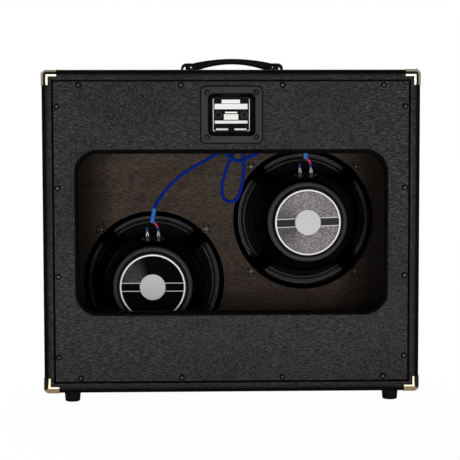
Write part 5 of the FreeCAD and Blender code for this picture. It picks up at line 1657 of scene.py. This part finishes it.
    def collars(self) -> Object:
        """The shrunk collars over the crimps.

        Returns:
            The new object.
        """
        low, high = self.collar
        radius, soft = self.collar_radius, self.barrel_overlap
        section = [(0.0, low), (radius * 0.86, low), (radius * 0.95, low + soft),
                   (radius, low + 0.4 * (high - low)), (radius * 0.93, high - soft), (radius * 0.82, high),
                   (0.0, high)]
        return self.at_both("collars", turned(section, self.collar_steps), Finish.sleeve_navy,
                            "connector_sleeves")


# Studio

@dataclass(frozen=True)
class Lamp:
    """A rectangular lamp that the camera doesn't see, left out of reflections if not glossy.

    It faces the cabinet, unless back is given, which is the way that its rear side faces.
    """

    name: str
    at: Point
    size: Span
    power: float
    glossy: bool = True
    back: Point | None = None

    def build(self, aim: Point) -> None:
        """Put the lamp into the scene.

        Args:
            aim: the point of the cabinet that lamps face.
        """
        data = bpy.data.lights.new(self.name, "AREA")
        data.shape = "RECTANGLE"
        data.size, data.size_y = self.size
        data.energy = self.power
        thing = bpy.data.objects.new(self.name, data)
        thing.matrix_world = facing(self.at, self.back or Vector(self.at) - Vector(aim))
        thing.visible_camera = False
        thing.visible_glossy = self.glossy
        show(thing)


@dataclass
class Studio:
    """The photograph's camera, a pale floor, soft boxes round the camera, fill lamps and a white room.

    The lamp floor_bounce stands in for the light that a white floor throws up. In reflections the floor is
    brown, in a strip as wide as the cabinet and in front of it.
    """

    camera_at: Point = (0.080754, 2.7405, 0.50018)
    yaw: float = 0.0296
    pitch: float = 0.0675
    roll: float = -0.0021
    lens: float = 110.30
    sensor: float = 36.0
    far_clip: float = 100.0
    aim: Point = (0.0, 0.0, 0.33)
    ambient: float = 0.13
    dark_room: float = 0.02
    back_room: float = 0.36
    back_from: Span = (0.45, 0.3)
    floor_size: float = 14.0
    floor_roughness: float = 0.8
    floor_tones: tuple[Colour, Colour] = ((0.85, 0.85, 0.845), (0.87, 0.87, 0.865))
    floor_patches: float = 3.0
    floor_glow: Span = (0.985, 1.0)
    floor_fade: Span = (0.7, 2.0)
    mirrored_tone: Colour = (0.33, 0.26, 0.19)
    mirrored_side: Span = (0.42, 0.37)
    mirrored_least: float = 0.06
    mirrored_front: Span = (0.05, -0.1)
    lamps: tuple[Lamp, ...] = (
        Lamp("left_box", (0.92, 2.9, 0.34), (0.36, 0.60), 27.5),
        Lamp("left_card", (0.64, 2.9, 0.74), (0.30, 0.20), 0.42),
        Lamp("right_box", (-1.0, 2.9, 0.34), (0.36, 0.60), 27.5),
        Lamp("right_card", (-0.81, 2.9, 0.74), (0.30, 0.20), 0.42),
        Lamp("floor_bounce", (0.0, 1.27, 0.004), (0.80, 2.0), 7.0, back=DOWN),
        Lamp("front_box", (0.6, -3.2, 1.7), (2.2, 1.4), 60.0),
        Lamp("left_fill", (2.2, -0.9, 0.8), (1.4, 0.9), 20.0, glossy=False),
        Lamp("right_fill", (-2.2, -0.9, 0.8), (1.4, 0.9), 20.0, glossy=False),
        Lamp("top_fill", (0.0, -0.7, 2.5), (1.4, 0.9), 20.0, glossy=False))

    def build(self) -> None:
        """Set up the camera, the room, the floor and the lamps."""
        bpy.context.scene.view_settings.view_transform = "Standard"
        self.camera()
        self.room()
        self.floor()
        for lamp in self.lamps:
            lamp.build(self.aim)

    def camera(self) -> None:
        """Put the camera where the photograph was taken from."""
        data = bpy.data.cameras.new("photo_camera")
        data.lens = self.lens
        data.sensor_width = self.sensor
        data.clip_end = self.far_clip
        thing = bpy.data.objects.new("photo_camera", data)
        place = Matrix.Translation(self.camera_at)
        for turn, axis in ((math.pi - self.yaw, "Z"), (math.pi / 2 - self.pitch, "X"), (self.roll, "Z")):
            place = place @ Matrix.Rotation(turn, 4, axis)
        thing.matrix_world = place
        show(thing)
        bpy.context.scene.camera = thing

    def room(self) -> None:
        """Make the room white to the camera, pale behind the cabinet for reflections and dim elsewhere."""
        world = bpy.data.worlds.new("white_room")
        bpy.context.scene.world = world
        world.use_nodes = True
        graph = Graph(world.node_tree)
        path = graph.add("ShaderNodeLightPath").outputs
        rearward = graph.parts(graph.add("ShaderNodeTexCoord").outputs["Generated"])[1]
        behind = graph.ramp(rearward, *self.back_from, self.dark_room, self.back_room)
        strength = graph.blend(self.mirrored(graph), self.ambient, behind)
        strength = graph.blend(path["Is Camera Ray"], strength, 1.0)
        background = graph.nodes["Background"].inputs
        graph.feed(background["Strength"], strength)
        graph.feed(background["Color"], grey(1.0))

    def mirrored(self, graph: Graph) -> NodeSocket:
        """1 where a thing is seen in a reflection."""
        path = graph.add("ShaderNodeLightPath").outputs
        return graph.maths("MAXIMUM", path["Is Glossy Ray"], path["Is Transmission Ray"])

    def floor(self) -> None:
        """Lay a pale floor that keeps a faint shadow and is white to the camera."""
        shape = bmesh.new()
        bmesh.ops.create_grid(shape, x_segments=1, y_segments=1, size=self.floor_size / 2)
        mesh = bpy.data.meshes.new("floor")
        shape.to_mesh(mesh)
        shape.free()
        mesh.materials.append(self.floor_finish())
        thing = bpy.data.objects.new("floor", mesh)
        show(thing)

    def floor_finish(self) -> Material:
        """Make the floor's material: pale in the light, white to the camera and brown in reflections.

        Returns:
            The new material.
        """
        low, high = self.floor_tones
        shader = Shader("floor", low, self.floor_roughness)
        cloud = shader.noise(shader.place(), self.floor_patches, 3.0)
        shader.set("Base Color", shader.mix(cloud, (*low, 1.0), (*high, 1.0)))
        x, y, _ = shader.parts(shader.place())
        beside = shader.ramp(shader.maths("ABSOLUTE", x), *self.mirrored_side, self.mirrored_least, 1.0)
        near = shader.maths("MAXIMUM", beside, shader.ramp(y, *self.mirrored_front))
        brown = shader.add("ShaderNodeEmission", {"Color": (*self.mirrored_tone, 1.0), "Strength": near})
        glow = shader.add("ShaderNodeEmission", {"Color": grey(1.0), "Strength": 1.0})
        away = shader.add("ShaderNodeVectorMath", {0: shader.place()}, operation="LENGTH").outputs["Value"]
        camera = shader.add("ShaderNodeLightPath").outputs["Is Camera Ray"]
        seen = shader.maths("MULTIPLY", camera, shader.ramp(away, *self.floor_fade, *self.floor_glow))
        look = shader.surface
        for share, instead in ((self.mirrored(shader), brown), (seen, glow)):
            look = shader.add("ShaderNodeMixShader", {0: share, 1: look.outputs[0], 2: instead.outputs[0]})
        shader.feed(shader.nodes["Material Output"].inputs["Surface"], look.outputs[0])
        return shader.material


def main() -> None:
    """Build and dress every sub-assembly, then set up the studio."""
    logging.basicConfig(level=logging.INFO, format="%(name)s %(message)s")
    assemblies = (
        Cable(name="lower", length=0.282, route=LOWER_ROUTE, split=(0.1515, -0.008, 0.3305)),
        Cable(name="upper", length=0.682, route=UPPER_ROUTE, split=(-0.1485, -0.008, 0.4545)),
        Shell(), BackPanel(), JackPlate(), Handle(), Front(), DriverFittings(),
        Driver(name="upper", print_and_glint_finish=Finish.upper_print, edge_finish=Finish.upper_doped),
        Driver(name="lower", print_and_glint_finish=Finish.lower_print, edge_finish=Finish.lower_doped),
        Studio())
    for assembly in assemblies:
        assembly.build()


if __name__ == "__main__":
    main()
